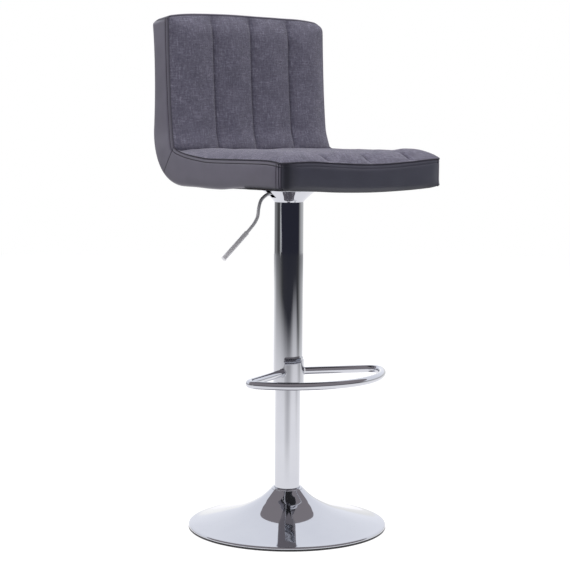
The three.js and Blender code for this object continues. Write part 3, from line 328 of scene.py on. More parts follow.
def eased(outline, steps=4, support=0.0004):
    """Rounds the corners of a closed outline that carry a third number, their radius.

    Long straight stretches get a point near both ends, so that they keep flat shading.
    """
    made = []
    for i, corner in enumerate(outline):
        here = np.array(corner[:2])
        if len(corner) < 3:
            made.append(here)
            continue
        before = np.array(outline[i - 1][:2]) - here
        after = np.array(outline[(i + 1) % len(outline)][:2]) - here
        back, on = np.linalg.norm(before), np.linalg.norm(after)
        bend = math.acos(np.clip(before @ after / back / on, -1, 1))
        reach = min(min(back, on) * 0.48, corner[2] / math.tan(bend / 2))
        start = here + before / back * reach
        end = here + after / on * reach
        made += [(1 - t) ** 2 * start + 2 * t * (1 - t) * here + t * t * end
                 for t in np.linspace(0, 1, steps + 1)]
    held = []
    for here, after in zip(made, made[1:] + made[:1]):
        length = np.linalg.norm(after - here)
        held.append(here)
        if length > 8 * support:
            held += [here + (after - here) * support / length,
                     after - (after - here) * support / length]
    return held


def turned(name, outline, finish, steps=128, crease=32):
    """Turns a closed outline of (radius, height) about the column."""
    ring = np.array(outline)
    angle = np.linspace(0, 2 * math.pi, steps, endpoint=False)
    points = np.stack([
        np.outer(np.cos(angle), ring[:, 0]), np.outer(np.sin(angle), ring[:, 0]),
        np.tile(ring[:, 1], (steps, 1)),
    ], axis=-1).reshape(-1, 3)
    n = len(ring)
    faces = []
    for i in range(steps):
        here, on = i * n, (i + 1) % steps * n
        for k in range(n):
            after = (k + 1) % n
            if max(ring[k, 0], ring[after, 0]) > 1e-6:
                faces.append((here + k, on + k, on + after, here + after))
    return put(name, points, faces, finish, crease)


def new_finish(name, base, rough, metal=0.0, constants=None):
    """A material with its Principled shader; returns it with its graph and shader."""
    finish = bpy.data.materials.new(name)
    finish.use_nodes = True
    g = Graph(finish.node_tree)
    surface = g.node("ShaderNodeBsdfPrincipled", {}, {
        "Base Color": (*base, 1), "Roughness": rough, "Metallic": metal, **(constants or {})})
    g.node("ShaderNodeOutputMaterial", {}, {0: surface})
    return finish, g, surface.socket.node


def feed(g, shader, **wires):
    for name, wire in wires.items():
        g.tree.links.new(wire.socket, shader.inputs[name.replace("_", " ")])


def spots(g, place, scale, detail=2.0, roughness=0.5):
    values = {"Vector": place, "Scale": scale, "Detail": detail, "Roughness": roughness}
    return g.node("ShaderNodeTexNoise", {}, values)


def bump(g, height, distance, strength):
    values = {"Height": height, "Distance": distance, "Strength": strength}
    return g.node("ShaderNodeBump", {}, values)


def vary(g, shader, tone, stops, wear, rough, relief):
    """Lets the colour, the roughness and the relief of a finish change over a piece."""
    feed(g, shader, Base_Color=g.ramp(tone, *stops), Roughness=g.between(wear, *rough),
         Normal=bump(g, *relief))


def mottled(name, base, rough, tone, stops, wear, relief, grain=None, metal=0.0,
            constants=None, worn_grain=False):
    """A finish whose colour follows soft spots, and whose relief follows them or a grain.

    The spots and the grain are (scale, detail); the wear is the roughness from least to
    most, along the spots, or along the grain where worn_grain is set.
    """
    finish, g, shader = new_finish(name, base, rough, metal, constants)
    tone = spots(g, g.place(), *tone)
    grain = spots(g, g.place(), *grain) if grain else tone
    vary(g, shader, tone, stops, grain if worn_grain else tone, wear, (grain, *relief))
    return finish


black_plastic = mottled(
    "moulded_black_plastic", (0.018, 0.018, 0.02), 0.5, (40, 2.0),
    ((0.35, (0.014, 0.014, 0.016)), (0.7, (0.026, 0.026, 0.029))), (0.42, 0.62),
    (0.00012, 0.6), grain=(900, 2.0))
guard_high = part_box("floor_guard")[1]
base_radius = guard_high.x
guard_top = guard_high.z
RIM_WIDTH = 0.0045
GUARD_SHEET = 0.002
foot_rings = [
    point for r in (0.06, 0.1, 0.14, 0.18)
    for point in ((r - 0.004, 0.0006), (r - 0.003, 0.0), (r + 0.003, 0.0), (r + 0.004, 0.0006))
]
floor_guard = turned("floor_guard_moulding", eased([
    (0, 0.0006), *foot_rings, (base_radius - 0.006, 0.0006), (base_radius - 0.005, 0),
    (base_radius, 0, 0.0012), (base_radius, guard_top, 0.0006),
    (base_radius - RIM_WIDTH, guard_top, 0.0006),
    (base_radius - RIM_WIDTH, GUARD_SHEET, 0.0004), (0, GUARD_SHEET),
]), black_plastic, 160)
place_on(floor_guard, "base", "black_plastic", "floor_guard")

# ---- Weight and its clamp ------------------------------------------------------------
# A turned steel disc lies in the guard. A zinc-plated bolt and washer clamp it to the plug
# in the foot of the column; a welded plate over the plug carries the piston rod.


def make_turned_steel():
    finish, g, shader = new_finish("turned_steel", (0.4, 0.4, 0.42), 0.4, 1.0)
    place = g.place()
    x, y, z = (g.part(place, i) for i in range(3))
    radius = (x * x + y * y).through("SQRT")
    rings = g.node("ShaderNodeCombineXYZ", {}, {0: radius, 1: z})
    lines = spots(g, rings, 1400, 1.0)
    stain = spots(g, place, 25, 4.0)
    vary(g, shader, stain, ((0.3, (0.3, 0.3, 0.31)), (0.7, (0.46, 0.46, 0.48))),
         lines, (0.28, 0.5), (lines, 0.00005, 0.5))
    return finish


def dress(finish, *nodes):
    """Gives solids that stay as they are their finish."""
    for node in nodes:
        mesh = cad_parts[node].data
        mesh.materials.clear()
        mesh.materials.append(finish)


turned_steel = make_turned_steel()
zinc = mottled(
    "zinc_plate", (0.6, 0.61, 0.63), 0.35, (120, 3.0),
    ((0.3, (0.52, 0.55, 0.6)), (0.7, (0.68, 0.67, 0.62))), (0.25, 0.45), (0.00004, 0.4),
    metal=1.0)
dress(turned_steel, "base_weight", "foot_plug", "rod_plate")
dress(zinc, "clamp_bolt", "clamp_washer")

# ---- Base cover ----------------------------------------------------------------------
# The trumpet is spun from one steel sheet, polished and chrome plated. Its turned edge
# stands on the rim of the guard, and its mouth is pushed over the column.


def make_chrome(name, rough, metal=1.0, low=(0.55, 0.56, 0.595), high=(0.58, 0.59, 0.62)):
    finish, g, shader = new_finish(name, low, rough, metal)
    haze = spots(g, g.place(), 14, 3.0)
    wipe = spots(g, g.place(), 160, 2.0)
    feed(g, shader, Base_Color=g.ramp(haze, (0.3, low), (0.75, high)),
         Roughness=g.between(wipe, rough * 0.6, rough * 1.5))
    return finish


def smooth_line(points, steps):
    """A smooth line through points, as even shares of each span."""
    p = np.array(points, float)
    p = np.vstack([2 * p[0] - p[1], p, 2 * p[-1] - p[-2]])
    made = []
    for a, b, c, d in zip(p, p[1:], p[2:], p[3:]):
        k0, k1, k2 = (np.linalg.norm(span) ** 0.5 for span in (b - a, c - b, d - c))
        m1 = (c - b) + k1 * ((b - a) / k0 - (c - a) / (k0 + k1))
        m2 = (c - b) + k1 * ((d - c) / k2 - (d - b) / (k1 + k2))
        t = np.linspace(0, 1, steps, endpoint=False)[:, None]
        made.append((2 * t**3 - 3 * t**2 + 1) * b + (t**3 - 2 * t**2 + t) * m1
                    + (3 * t**2 - 2 * t**3) * c + (t**3 - t**2) * m2)
    return np.vstack([*made, p[-2]])


def headings(line):
    """The direction of a line at each of its points."""
    along = np.gradient(line, axis=0)
    return along / np.linalg.norm(along, axis=1)[:, None]


def to_right(line, distance):
    """A flat line moved to its right."""
    along = headings(line)
    return line + distance * np.column_stack([along[:, 1], -along[:, 0]])


chrome = make_chrome("mirror_chrome", 0.036)
cover_low, cover_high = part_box("base_cover")
MOUTH_RADIUS = 0.033
COVER_SHEET = 0.0015
COVER_LIP = 0.0045
# The hollow curve, as shares of the run out from the mouth and of the rise over the rim.
TRUMPET = [
    (0, 1), (0.073, 0.83), (0.125, 0.724), (0.169, 0.653), (0.25, 0.54), (0.385, 0.389),
    (0.566, 0.247), (0.743, 0.127), (0.913, 0.025), (0.974, 0.0),
]


def trumpet_outline():
    crest = cover_low.z + COVER_LIP
    run = base_radius - MOUTH_RADIUS
    rise = cover_high.z - crest
    top = smooth_line([(MOUTH_RADIUS + out * run, crest + up * rise) for out, up in TRUMPET], 7)
    lip = smooth_line([top[-1], (base_radius - 0.0014, crest - 0.001),
                       (base_radius - 0.0002, crest - 0.0028), (base_radius, cover_low.z)], 4)
    outer = np.vstack([top[:-1], lip])
    inner = to_right(outer, COVER_SHEET)
    inner[0] = (MOUTH_RADIUS - COVER_SHEET, cover_high.z)
    inner[-1] = (base_radius - COVER_SHEET, cover_low.z)
    return np.vstack([outer, inner[::-1]])


base_cover = turned("base_trumpet", trumpet_outline(), chrome, 192, 40)
place_on(base_cover, "base", "chrome", "base_cover")

# ---- Column --------------------------------------------------------------------------
# The chromed stand tube comes out of the trumpet's mouth, through a rubbery seal under a
# chromed collar. A nylon bush in its upper end guides the gas spring.

seal_low, seal_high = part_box("flare_seal")
tube_low, tube_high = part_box("stand_tube")
tube_radius = tube_high.x
RUNNING_BORE = tube_radius + 0.0003
COLLAR_BORE = tube_radius + 0.0002
COLLAR_OVERLAP = 0.0012
TUBE_WALL = 0.0015
seal_rim = seal_high.z - COLLAR_OVERLAP
flare_seal = turned("trumpet_seal", eased([
    (RUNNING_BORE, seal_low.z), (seal_high.x, seal_low.z), (seal_high.x, seal_rim, 0.0006),
    (RUNNING_BORE, seal_rim, 0.0005),
]), black_plastic, 96)
place_on(flare_seal, "base", "black_plastic", "flare_seal")
# Each point is (radius, height over the seal, rounding).
collar = turned("trumpet_collar", eased([
    (radius, seal_high.z + up, *rounding) for radius, up, *rounding in (
        (COLLAR_BORE, -0.001), (0.0318, -0.001, 0.0005), (0.0322, 0.0010, 0.0010),
        (0.0305, 0.0028, 0.0012), (0.0275, 0.0030, 0.0012), (COLLAR_BORE, 0.0018, 0.0006))
]), chrome, 128)
place_on(collar, "base", "chrome")
stand_tube = turned("stand_tube_chromed", eased([
    (tube_radius - TUBE_WALL, tube_low.z), (tube_radius, tube_low.z, 0.0004),
    (tube_radius, tube_high.z, 0.0004), (tube_radius - TUBE_WALL, tube_high.z),
]), chrome, 160)
place_on(stand_tube, "base", "chrome", "stand_tube")


nylon = mottled(
    "natural_nylon", (0.78, 0.77, 0.71), 0.45, (90, 2.0),
    ((0.3, (0.74, 0.72, 0.65)), (0.7, (0.82, 0.81, 0.76))), (0.38, 0.55), (0.00008, 0.5),
    grain=(700, 2.0), constants={"Subsurface Weight": 0.1})
dress(nylon, "guide_bush")

# ---- Gas spring ----------------------------------------------------------------------
# The rod stands on a thrust bearing on the rod plate, held by a clip, and turns with the
# seat. The black pressure tube slides over its piston and ends in the valve pin.


black_coat = mottled(
    "black_powder_coat", (0.02, 0.02, 0.022), 0.42, (30, 2.0),
    ((0.3, (0.016, 0.016, 0.018)), (0.7, (0.03, 0.03, 0.032))), (0.34, 0.52), (0.0001, 0.5),
    grain=(650, 1.0), worn_grain=True)
dress(turned_steel, "bearing_lower_race", "bearing_cage", "bearing_upper_race", "piston_rod")
dress(zinc, "rod_clip", "valve_pin")
dress(nylon, "piston", "rod_gland")
dress(black_coat, "pressure_tube")

# ---- Sleeve and bell -----------------------------------------------------------------
# The chromed sleeve is welded to the bell, a spun cup that hides the socket and the lever.
# A plastic bush in its lower end runs on the stand tube. The lever leaves by a slot.

sleeve_low, sleeve_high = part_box("outer_sleeve")
sleeve_radius = sleeve_high.x
SLEEVE_WALL = 0.0015
sleeve = turned("column_sleeve", eased([
    (sleeve_radius - SLEEVE_WALL, sleeve_low.z, 0.0004), (sleeve_radius, sleeve_low.z, 0.0007),
    (sleeve_radius, sleeve_high.z), (sleeve_radius - SLEEVE_WALL, sleeve_high.z),
]), chrome, 160)
place_on(sleeve, "seat_unit", "chrome", "outer_sleeve")
bush_low, bush_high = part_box("sleeve_bush")
sleeve_bush = turned("sleeve_end_bush", eased([
    (RUNNING_BORE, bush_low.z, 0.0006), (bush_high.x, bush_low.z, 0.0004),
    (bush_high.x, bush_high.z), (RUNNING_BORE, bush_high.z, 0.0006),
]), black_plastic, 96)
place_on(sleeve_bush, "seat_unit", "black_plastic", "sleeve_bush")

bell_low, bell_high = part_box("bell")
BELL_SHEET = 0.0015
BELL_RIM = 0.0055
SLOT_HALF = 0.007
SLOT_DEPTH = 0.020


def bell_outline():
    rim = bell_high.z - BELL_RIM
    outer = smooth_line([
        (sleeve_radius, bell_low.z), (sleeve_radius + 0.0012, bell_low.z + 0.0016),
        (sleeve_radius + 0.0035, bell_low.z + 0.0045), (bell_high.x - 0.0045, rim - 0.0038),
        (bell_high.x - 0.0012, rim - 0.0008), (bell_high.x, rim + 0.0022),
        (bell_high.x, bell_high.z),
    ], 4)
    inner = to_right(outer, -BELL_SHEET)
    inner[0] = (sleeve_radius - BELL_SHEET, bell_low.z)
    inner[-1] = (bell_high.x - BELL_SHEET, bell_high.z)
    return np.vstack([outer, inner[::-1]])


def cut_with(piece, tool):
    """Cuts one mesh out of another, then removes it."""
    change = piece.modifiers.new("cut", "BOOLEAN")
    change.operation = "DIFFERENCE"
    change.solver = "EXACT"
    change.object = tool
    flatten(piece)
    bpy.data.objects.remove(tool)


def flatten(piece, crease=32):
    """Puts the result of a piece's modifiers into its mesh."""
    view = bpy.context.evaluated_depsgraph_get()
    mesh = bpy.data.meshes.new_from_object(piece.evaluated_get(view))
    piece.modifiers.clear()
    piece.data = mesh
    mesh.set_sharp_from_angle(angle=math.radians(crease))


def block(name, low, high, finish):
    points = [(x, y, z) for x in (low[0], high[0]) for y in (low[1], high[1])
              for z in (low[2], high[2])]
    faces = [(0, 1, 3, 2), (4, 6, 7, 5), (0, 4, 5, 1), (2, 3, 7, 6), (0, 2, 6, 4), (1, 5, 7, 3)]
    return put(name, points, faces, finish)


bell = turned("column_bell", bell_outline(), chrome, 160, 40)
slot_tool = block("slot_tool", (-0.07, -SLOT_HALF, bell_high.z - SLOT_DEPTH),
                  (-sleeve_radius - 0.001, SLOT_HALF, bell_high.z + 0.01), chrome)
cut_with(bell, slot_tool)
place_on(bell, "seat_unit", "chrome", "bell")

# ---- Mounting plate and socket -------------------------------------------------------
# A pressed black plate with a turned-down rim, welded to the socket that grips the gas
# cylinder's taper. Four socket screws hold it up into tee nuts in the seat board.

plate_low, plate_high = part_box("seat_plate")
PLATE_SHEET = 0.0025
PLATE_CORNER = 0.008


def joined_loops(n, m):
    """The faces between n closed loops of m points, with one more at both ends."""
    faces = [(i * m + k, i * m + (k + 1) % m, (i + 1) * m + (k + 1) % m, (i + 1) * m + k)
             for i in range(n - 1) for k in range(m)]
    return [*faces, tuple(range(m)), tuple(range((n - 1) * m, n * m))]


def squared(name, half, corner, profile, finish):
    """Sweeps a profile of (inset, height) round a square with round corners."""
    rows = []
    for inset, z in profile:
        side = max(half - inset, 1e-5)
        r = min(max(corner - inset, 0.001), side)
        rows.append([
            (sx * (side - r) + r * math.cos(a), sy * (side - r) + r * math.sin(a), z)
            for i, (sx, sy) in enumerate(((1, 1), (-1, 1), (-1, -1), (1, -1)))
            for a in np.radians(np.linspace(90 * i, 90 * i + 90, 9))
        ])
    return put(name, [p for row in rows for p in row], joined_loops(len(rows), len(rows[0])),
               finish)


rim_profile = eased([
    (0.05, plate_high.z), (0, plate_high.z, 0.0022), (0, plate_low.z, 0.0004),
    (PLATE_SHEET, plate_low.z, 0.0004), (PLATE_SHEET, plate_high.z - PLATE_SHEET, 0.001),
    (0.05, plate_high.z - PLATE_SHEET),
])
seat_plate = squared("mounting_plate", plate_high.x, PLATE_CORNER, rim_profile, black_coat)
place_on(seat_plate, "seat_unit", "black_steel", "seat_plate")
dress(black_coat, "cylinder_socket")
dress(zinc, "lever_pivot_pin", "tee_nut_1", "tee_nut_2", "tee_nut_3", "tee_nut_4")


class Recipe(Graph):
    """A geometry tree with named inputs, run once on a mesh of points or edges."""

    def __init__(self, name, **inputs):
        super().__init__(bpy.data.node_groups.new(name, "GeometryNodeTree"))
        face = self.tree.interface
        face.new_socket(name="Geometry", in_out="OUTPUT", socket_type="NodeSocketGeometry")
        for label, kind in {"Geometry": "Geometry", **inputs, "Finish": "Material"}.items():
            face.new_socket(name=label.replace("_", " "), in_out="INPUT",
                            socket_type="NodeSocket" + kind)
        self.entry = None

    def given(self, name):
        if self.entry is None:
            self.entry = self.tree.nodes.new("NodeGroupInput")
        return Wire(self, self.entry.outputs[name])

    def end(self, geometry, smooth=True):
        plain = self.node("GeometryNodeRealizeInstances", {}, {0: geometry})
        if smooth:
            plain = self.node("GeometryNodeSetShadeSmooth", {}, {0: plain})
        values = {"Geometry": plain, "Material": self.given("Finish")}
        done = self.node("GeometryNodeSetMaterial", {}, values)
        self.node("NodeGroupOutput", {}, {0: done})


def run(recipe, name, points, edges, values):
    """Runs a geometry tree on points and edges, and keeps the plain mesh it gives."""
    made = link(name, new_mesh(name, points, edges, []))
    change = made.modifiers.new("recipe", "NODES")
    change.node_group = recipe.tree
    for item in recipe.tree.interface.items_tree:
        if item.in_out == "INPUT" and item.name in values:
            change[item.identifier] = values[item.name]
    flatten(made)
    return made


def screw_recipe():
    """A round head with a raised crown and a six-sided socket from below."""
    g = Recipe("socket_screws", Head_Radius="Float", Head_Height="Float", Key_Radius="Float")
    wide, high = g.given("Head Radius"), g.given("Head Height")
    head, crown, key = (
        g.node("GeometryNodeMeshCylinder", {}, {"Vertices": sides, "Radius": r, "Depth": depth})
        for sides, r, depth in ((32, wide, high), (32, wide * 0.86, high * 1.3),
                                (6, g.given("Key Radius"), high * 0.9)))
    drop = g.node("ShaderNodeCombineXYZ", {}, {2: high * -0.5})
    key = g.node("GeometryNodeTransform", {}, {"Geometry": key, "Translation": drop})
    whole = g.node("GeometryNodeMeshBoolean", {"operation": "UNION"}, {1: head})
    g.tree.links.new(crown.socket, whole.socket.node.inputs[1])
    screw = g.node("GeometryNodeMeshBoolean", {"operation": "DIFFERENCE"}, {0: whole, 1: key})
    placed = g.node("GeometryNodeInstanceOnPoints", {}, {
        "Points": g.given("Geometry"), "Instance": screw})
    g.end(placed, smooth=False)
    return g


screw_heads = [f"seat_screw_{i}" for i in range(1, 5)]
screw_low, screw_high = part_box("seat_screw_1")
HEAD_HEIGHT = 0.0022
KEY_RADIUS = 0.0023
spread = [(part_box(n)[0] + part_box(n)[1]) / 2 for n in screw_heads]
seat_screws = run(screw_recipe(), "seat_screw_heads",
                  [(p.x, p.y, screw_low.z + HEAD_HEIGHT / 2) for p in spread], [],
                  {"Head Radius": (screw_high.x - screw_low.x) / 2, "Head Height": HEAD_HEIGHT,
                   "Key Radius": KEY_RADIUS, "Finish": zinc})
place_on(seat_screws, "seat_unit", "zinc_steel")
dress(zinc, *screw_heads)

# ---- Release lever -------------------------------------------------------------------
# A bent rod of chromed steel that pivots in the socket's ears, over the valve pin, and
# comes out of the bell's slot. A slim chromed tube is pushed over its end as the grip.


def bar_recipe():
    g = Recipe("bent_bar", Radius="Float", Sides="Int")
    line = g.node("GeometryNodeMeshToCurve", {}, {0: g.given("Geometry")})
    ring = g.node("GeometryNodeCurvePrimitiveCircle", {}, {
        "Resolution": g.given("Sides"), "Radius": g.given("Radius")})
    g.end(g.node("GeometryNodeCurveToMesh", {}, {
        "Curve": line, "Profile Curve": ring, "Fill Caps": True}))
    return g


bent_bar = bar_recipe()


def bar(name, line, radius, finish, sides=24, closed=False):
    """A round bar along a line of points."""
    edges = [(i, i + 1) for i in range(len(line) - 1)]
    if closed:
        edges.append((len(line) - 1, 0))
    values = {"Radius": radius, "Sides": sides, "Finish": finish}
    return run(bent_bar, name, line, edges, values)


lever_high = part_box("lever_rod")[1]
pin_low, pin_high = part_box("lever_pivot_pin")
pivot_x = (pin_low.x + pin_high.x) / 2
lever_height = (pin_low.z + pin_high.z) / 2
LEVER_RADIUS = 0.0035
LEVER_REACH = 0.107
LEVER_FALL = 0.0775
GRIP_ANGLE = math.radians(41)
GRIP_RADIUS = 0.005
GRIP_LENGTH = 0.077
ROD_IN_GRIP = 0.05
GRIP_DEPTH = 0.066
BOSS_RADIUS = 0.0055
BOSS_HALF = 0.0059
# The rod's line, as shares of its reach out and of its fall.
lever_bends = [(0.423, 0), (0.546, 0.048), (0.67, 0.18), (0.722, 0.372), (0.753, 0.607),
               (0.828, 0.772), (1, 1)]
lever_line = smooth_line([(lever_high.x, lever_height), (pivot_x, lever_height)] + [
    (-out * LEVER_REACH, lever_height - down * LEVER_FALL) for out, down in lever_bends
] + [(-LEVER_REACH - ROD_IN_GRIP * math.cos(GRIP_ANGLE),
      lever_height - LEVER_FALL - ROD_IN_GRIP * math.sin(GRIP_ANGLE))], 10)
satin_chrome = make_chrome("satin_chrome", 0.2, 0.3, (0.84, 0.845, 0.87), (0.88, 0.885, 0.91))
lever = bar("release_lever", [(x, 0, z) for x, z in lever_line], LEVER_RADIUS, satin_chrome, 20)
place_on(lever, "lever", "chrome", "lever_rod")
boss = bar("lever_boss", [(pivot_x, y, lever_height) for y in (-BOSS_HALF, 0, BOSS_HALF)],
           BOSS_RADIUS, turned_steel)
place_on(boss, "lever", "bare_steel")


def aimed(piece, foot, angle):
    """Lays a piece turned about +Z along the grip's line, in its own mesh."""
    along = Vector((-math.cos(angle), 0, -math.sin(angle)))
    turn = along.to_track_quat("Z", "Y").to_matrix().to_4x4()
    piece.data.transform(Matrix.Translation(foot) @ turn)


grip_bore = LEVER_RADIUS + 0.0003
grip = turned("lever_grip_tube", eased([
    (0, GRIP_DEPTH), (grip_bore, GRIP_DEPTH), (grip_bore, 0, 0.0003),
    (GRIP_RADIUS, 0, 0.0009), (GRIP_RADIUS, GRIP_LENGTH, 0.0018), (0, GRIP_LENGTH),
]), satin_chrome, 48)
aimed(grip, (-LEVER_REACH, 0, lever_height - LEVER_FALL), GRIP_ANGLE)
place_on(grip, "lever", "chrome", "lever_grip")

# ---- Footrest ------------------------------------------------------------------------
# A ring of chromed tube whose two legs are welded to a saddle, a curved plate with a
# stepped lip that is welded round the front of the sleeve.

saddle_low, saddle_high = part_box("footrest_saddle")
rest_height = sum(corner.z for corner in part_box("footrest_ring")) / 2
SADDLE_INNER = sleeve_radius + 0.0003
SADDLE_SHEET = 0.003
SADDLE_LIP = 0.0065
LIP_SHEET = 0.0015
SADDLE_HALF = math.radians(54)
SADDLE_CORNER = 0.009
SADDLE_SIDE_ROLL = 0.0012
SADDLE_END_ROLL = 0.0008


def round_grid(rows, cols):
    """The places along the border of a grid, in order."""
    edge = [(0, c) for c in range(cols)] + [(r, cols - 1) for r in range(1, rows)]
    edge += [(rows - 1, c) for c in range(cols - 2, -1, -1)]
    return edge + [(r, 0) for r in range(rows - 2, 0, -1)]


def shell(name, outer, inner, finish, rim=(), **extra):
    """A closed form from a grid for its face, one for its back and loops between them.

    Each loop of the rim is a function of a point on the face and the one behind it.
    """
    rows, cols = outer.shape[:2]
    edge = round_grid(rows, cols)
    points = [outer.reshape(-1, 3), inner.reshape(-1, 3)]
    n = rows * cols
    loops = [[r * cols + c for r, c in edge]]
    start = 2 * n
    for loop in rim:
        points.append(np.array([loop(outer[r, c], inner[r, c]) for r, c in edge]))
        loops.append(list(range(start, start + len(edge))))
        start += len(edge)
    loops.append([n + r * cols + c for r, c in edge])
    faces = []
    for r in range(rows - 1):
        for c in range(cols - 1):
            a = r * cols + c
            faces.append((a, a + 1, a + cols + 1, a + cols))
            faces.append((n + a, n + a + cols, n + a + cols + 1, n + a + 1))
    for near, far in zip(loops, loops[1:]):
        for i in range(len(edge)):
            k = (i + 1) % len(edge)
            faces.append((near[i], far[i], far[k], near[k]))
    return put(name, np.vstack(points), faces, finish, **extra)


def unit(value):
    """A number kept from 0 to 1."""
    return np.clip(value, 0, 1)


def fall(distance, radius):
    """How far a rounded edge has dropped at a distance from it."""
    near = unit(distance / radius)
    return radius * (1 - np.sqrt(1 - (1 - near) ** 2))


def near_edges(length, steps, *fine):
    """Places from 0 to length: even steps, and finer ones next to both ends."""
    ends = np.array(fine)
    inner = np.linspace(ends[-1], length - ends[-1], steps)
    return np.concatenate([ends, inner[1:-1], (length - ends)[::-1]])


def make_saddle():
    """A plate bent round the sleeve, thinner over its lip, with its upper corners cut round."""
    full = (SADDLE_INNER + SADDLE_SHEET) * SADDLE_HALF
    low, high = saddle_low.z, saddle_high.z
    step = high - SADDLE_LIP
    z = np.concatenate([
        low + np.array([0, 0.0001, 0.0004, 0.0009, 0.0016]),
        np.linspace(low + 0.003, step - 0.002, 16),
        step + np.array([-0.0008, -0.0004, -0.0002, 0, 0.0001, 0.0003, 0.0008]),
        np.linspace(step + 0.0015, high - 0.0012, 4),
        high - np.array([0.0007, 0.0003, 0.0001, 0]),
    ])
    share = near_edges(2.0, 40, 0, 0.004, 0.012, 0.03, 0.05) - 1
    above = np.clip(z - (high - SADDLE_CORNER), 0, SADDLE_CORNER)
    wide = full - SADDLE_CORNER + np.sqrt(SADDLE_CORNER**2 - above**2 + 1e-12)
    angle = -math.pi / 2 + share[None, :] * wide[:, None] / (SADDLE_INNER + SADDLE_SHEET)
    lipped = unit((z - step) / 0.0003)
    thick = SADDLE_SHEET + (LIP_SHEET - SADDLE_SHEET) * lipped
    side = (1 - np.abs(share))[None, :] * wide[:, None]
    drop = fall(side, SADDLE_SIDE_ROLL)
    drop = drop + fall(np.minimum(high - z, z - low), SADDLE_END_ROLL)[:, None]
    level = np.tile(z[:, None], (1, len(share)))
    outer = SADDLE_INNER + thick[:, None] - np.minimum(drop, 0.0013)
    grids = [np.stack([r * np.cos(angle), r * np.sin(angle), level], -1)
             for r in (outer, np.full_like(outer, SADDLE_INNER))]
    return shell("footrest_saddle_plate", *grids, chrome, crease=28)


saddle = make_saddle()
place_on(saddle, "seat_unit", "chrome", "footrest_saddle")

REST_RADIUS = 0.0078
REST_FRONT = 0.196
ARC_RADIUS = 0.190
LEG_ANGLE = math.radians(24.5)
LEG_OFFSET = 0.004
CORNER_RADIUS = 0.024
WELD_RADIUS = 0.0012
SIDES = ((-1, "right"), (1, "left"))


def ring_line():
    """Straight leg, corner, front arc and back again, each running into the next."""
    along = np.array([math.cos(LEG_ANGLE), -math.sin(LEG_ANGLE)])
    inward = np.array([-math.sin(LEG_ANGLE), -math.cos(LEG_ANGLE)])
    arc_centre = np.array([0, ARC_RADIUS - REST_FRONT])
    start = np.array([0, -LEG_OFFSET])
    offset = start + inward * CORNER_RADIUS - arc_centre
    b = offset @ along
    distance = -b + math.sqrt(b * b - offset @ offset + (ARC_RADIUS - CORNER_RADIUS) ** 2)
    corner = arc_centre + offset + along * distance
    leg_end = corner - inward * CORNER_RADIUS
    first = math.atan2(-inward[1], -inward[0])
    last = math.atan2(*(corner - arc_centre)[::-1])
    foot = start + along * (SADDLE_INNER + SADDLE_SHEET - 0.0007)
    bend = [corner + CORNER_RADIUS * np.array([math.cos(a), math.sin(a)])
            for a in np.linspace(first, last, 16)]
    front = [arc_centre + ARC_RADIUS * np.array([math.cos(a), math.sin(a)])
             for a in np.linspace(last, -math.pi / 2, 40)[1:]]
    leg = [foot + (leg_end - foot) * t for t in np.linspace(0, 1, 12)[:-1]]
    half = np.array(leg + bend + front)
    return np.vstack([half, (half * (-1, 1))[-2::-1]]), foot, along


ring_path, leg_foot, leg_along = ring_line()
footrest = bar("footrest_ring_bar", [(x, y, rest_height) for x, y in ring_path], REST_RADIUS,
               chrome, 32)
place_on(footrest, "seat_unit", "chrome", "footrest_ring")


def weld_line(side):
    """The closed line on which a leg's skin meets the face of the saddle."""
    face = SADDLE_INNER + SADDLE_SHEET
    across = np.array([-leg_along[1], leg_along[0]])
    made = []
    for a in np.linspace(0, 2 * math.pi, 28, endpoint=False):
        skin = leg_foot + across * REST_RADIUS * math.cos(a)
        b = skin @ leg_along
        t = -b + math.sqrt(max(b * b - skin @ skin + face * face, 0))
        x, y = skin + leg_along * t
        made.append((side * x, y, rest_height + REST_RADIUS * math.sin(a)))
    return made


for side, label in SIDES:
    bead = bar(f"footrest_weld_{label}", weld_line(side), WELD_RADIUS, chrome, 10, closed=True)
    place_on(bead, "seat_unit", "chrome")

# ---- Seat frame ----------------------------------------------------------------------
# Birch plywood boards for the seat and the back, joined by two bent steel straps with wood
# screws.


def make_plywood():
    finish, g, shader = new_finish("birch_plywood", (0.5, 0.34, 0.2), 0.6)
    stretch = g.node("ShaderNodeMapping", {}, {"Vector": g.place(), "Scale": (60, 6, 700)})
    grain = spots(g, stretch, 1.0, 4.0)
    vary(g, shader, grain, ((0.3, (0.36, 0.22, 0.11)), (0.7, (0.6, 0.43, 0.26))),
         grain, (0.5, 0.72), (grain, 0.0003, 0.5))
    return finish


plywood = make_plywood()
dress(plywood, "seat_board", "back_board")
dress(black_coat, "frame_strap_right", "frame_strap_left")
dress(zinc, *[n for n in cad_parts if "strap_screw" in n])

# ---- Seat outlines -------------------------------------------------------------------
# The leather is cut to these lines, drawn at the seat's sides as (depth, height): the seam
# under the fabric, and the outer edge round the underside, the rear and the top.

side_low, side_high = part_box("side_cover_right")
half_width = -side_low.x
seat_front = side_low.y
seat_floor = side_low.z
back_rear = side_high.y
back_top = side_high.z
CORNER = (0.115, 0.783)
SEAM_TOP = (0.1345, 1.0508)
SEAT_LEVEL = 0.762
# The seam's height at the front corners, right and left.
FRONT_RIGHT = 0.7575
FRONT_LEFT = 0.7630
MITRE_ANGLE = -50
BEND_RADIUS = 0.108
BEND_FULL = 0.0030
REAR_DEPTH = 0.189
bend_centre = (REAR_DEPTH - BEND_RADIUS, seat_floor + BEND_RADIUS)
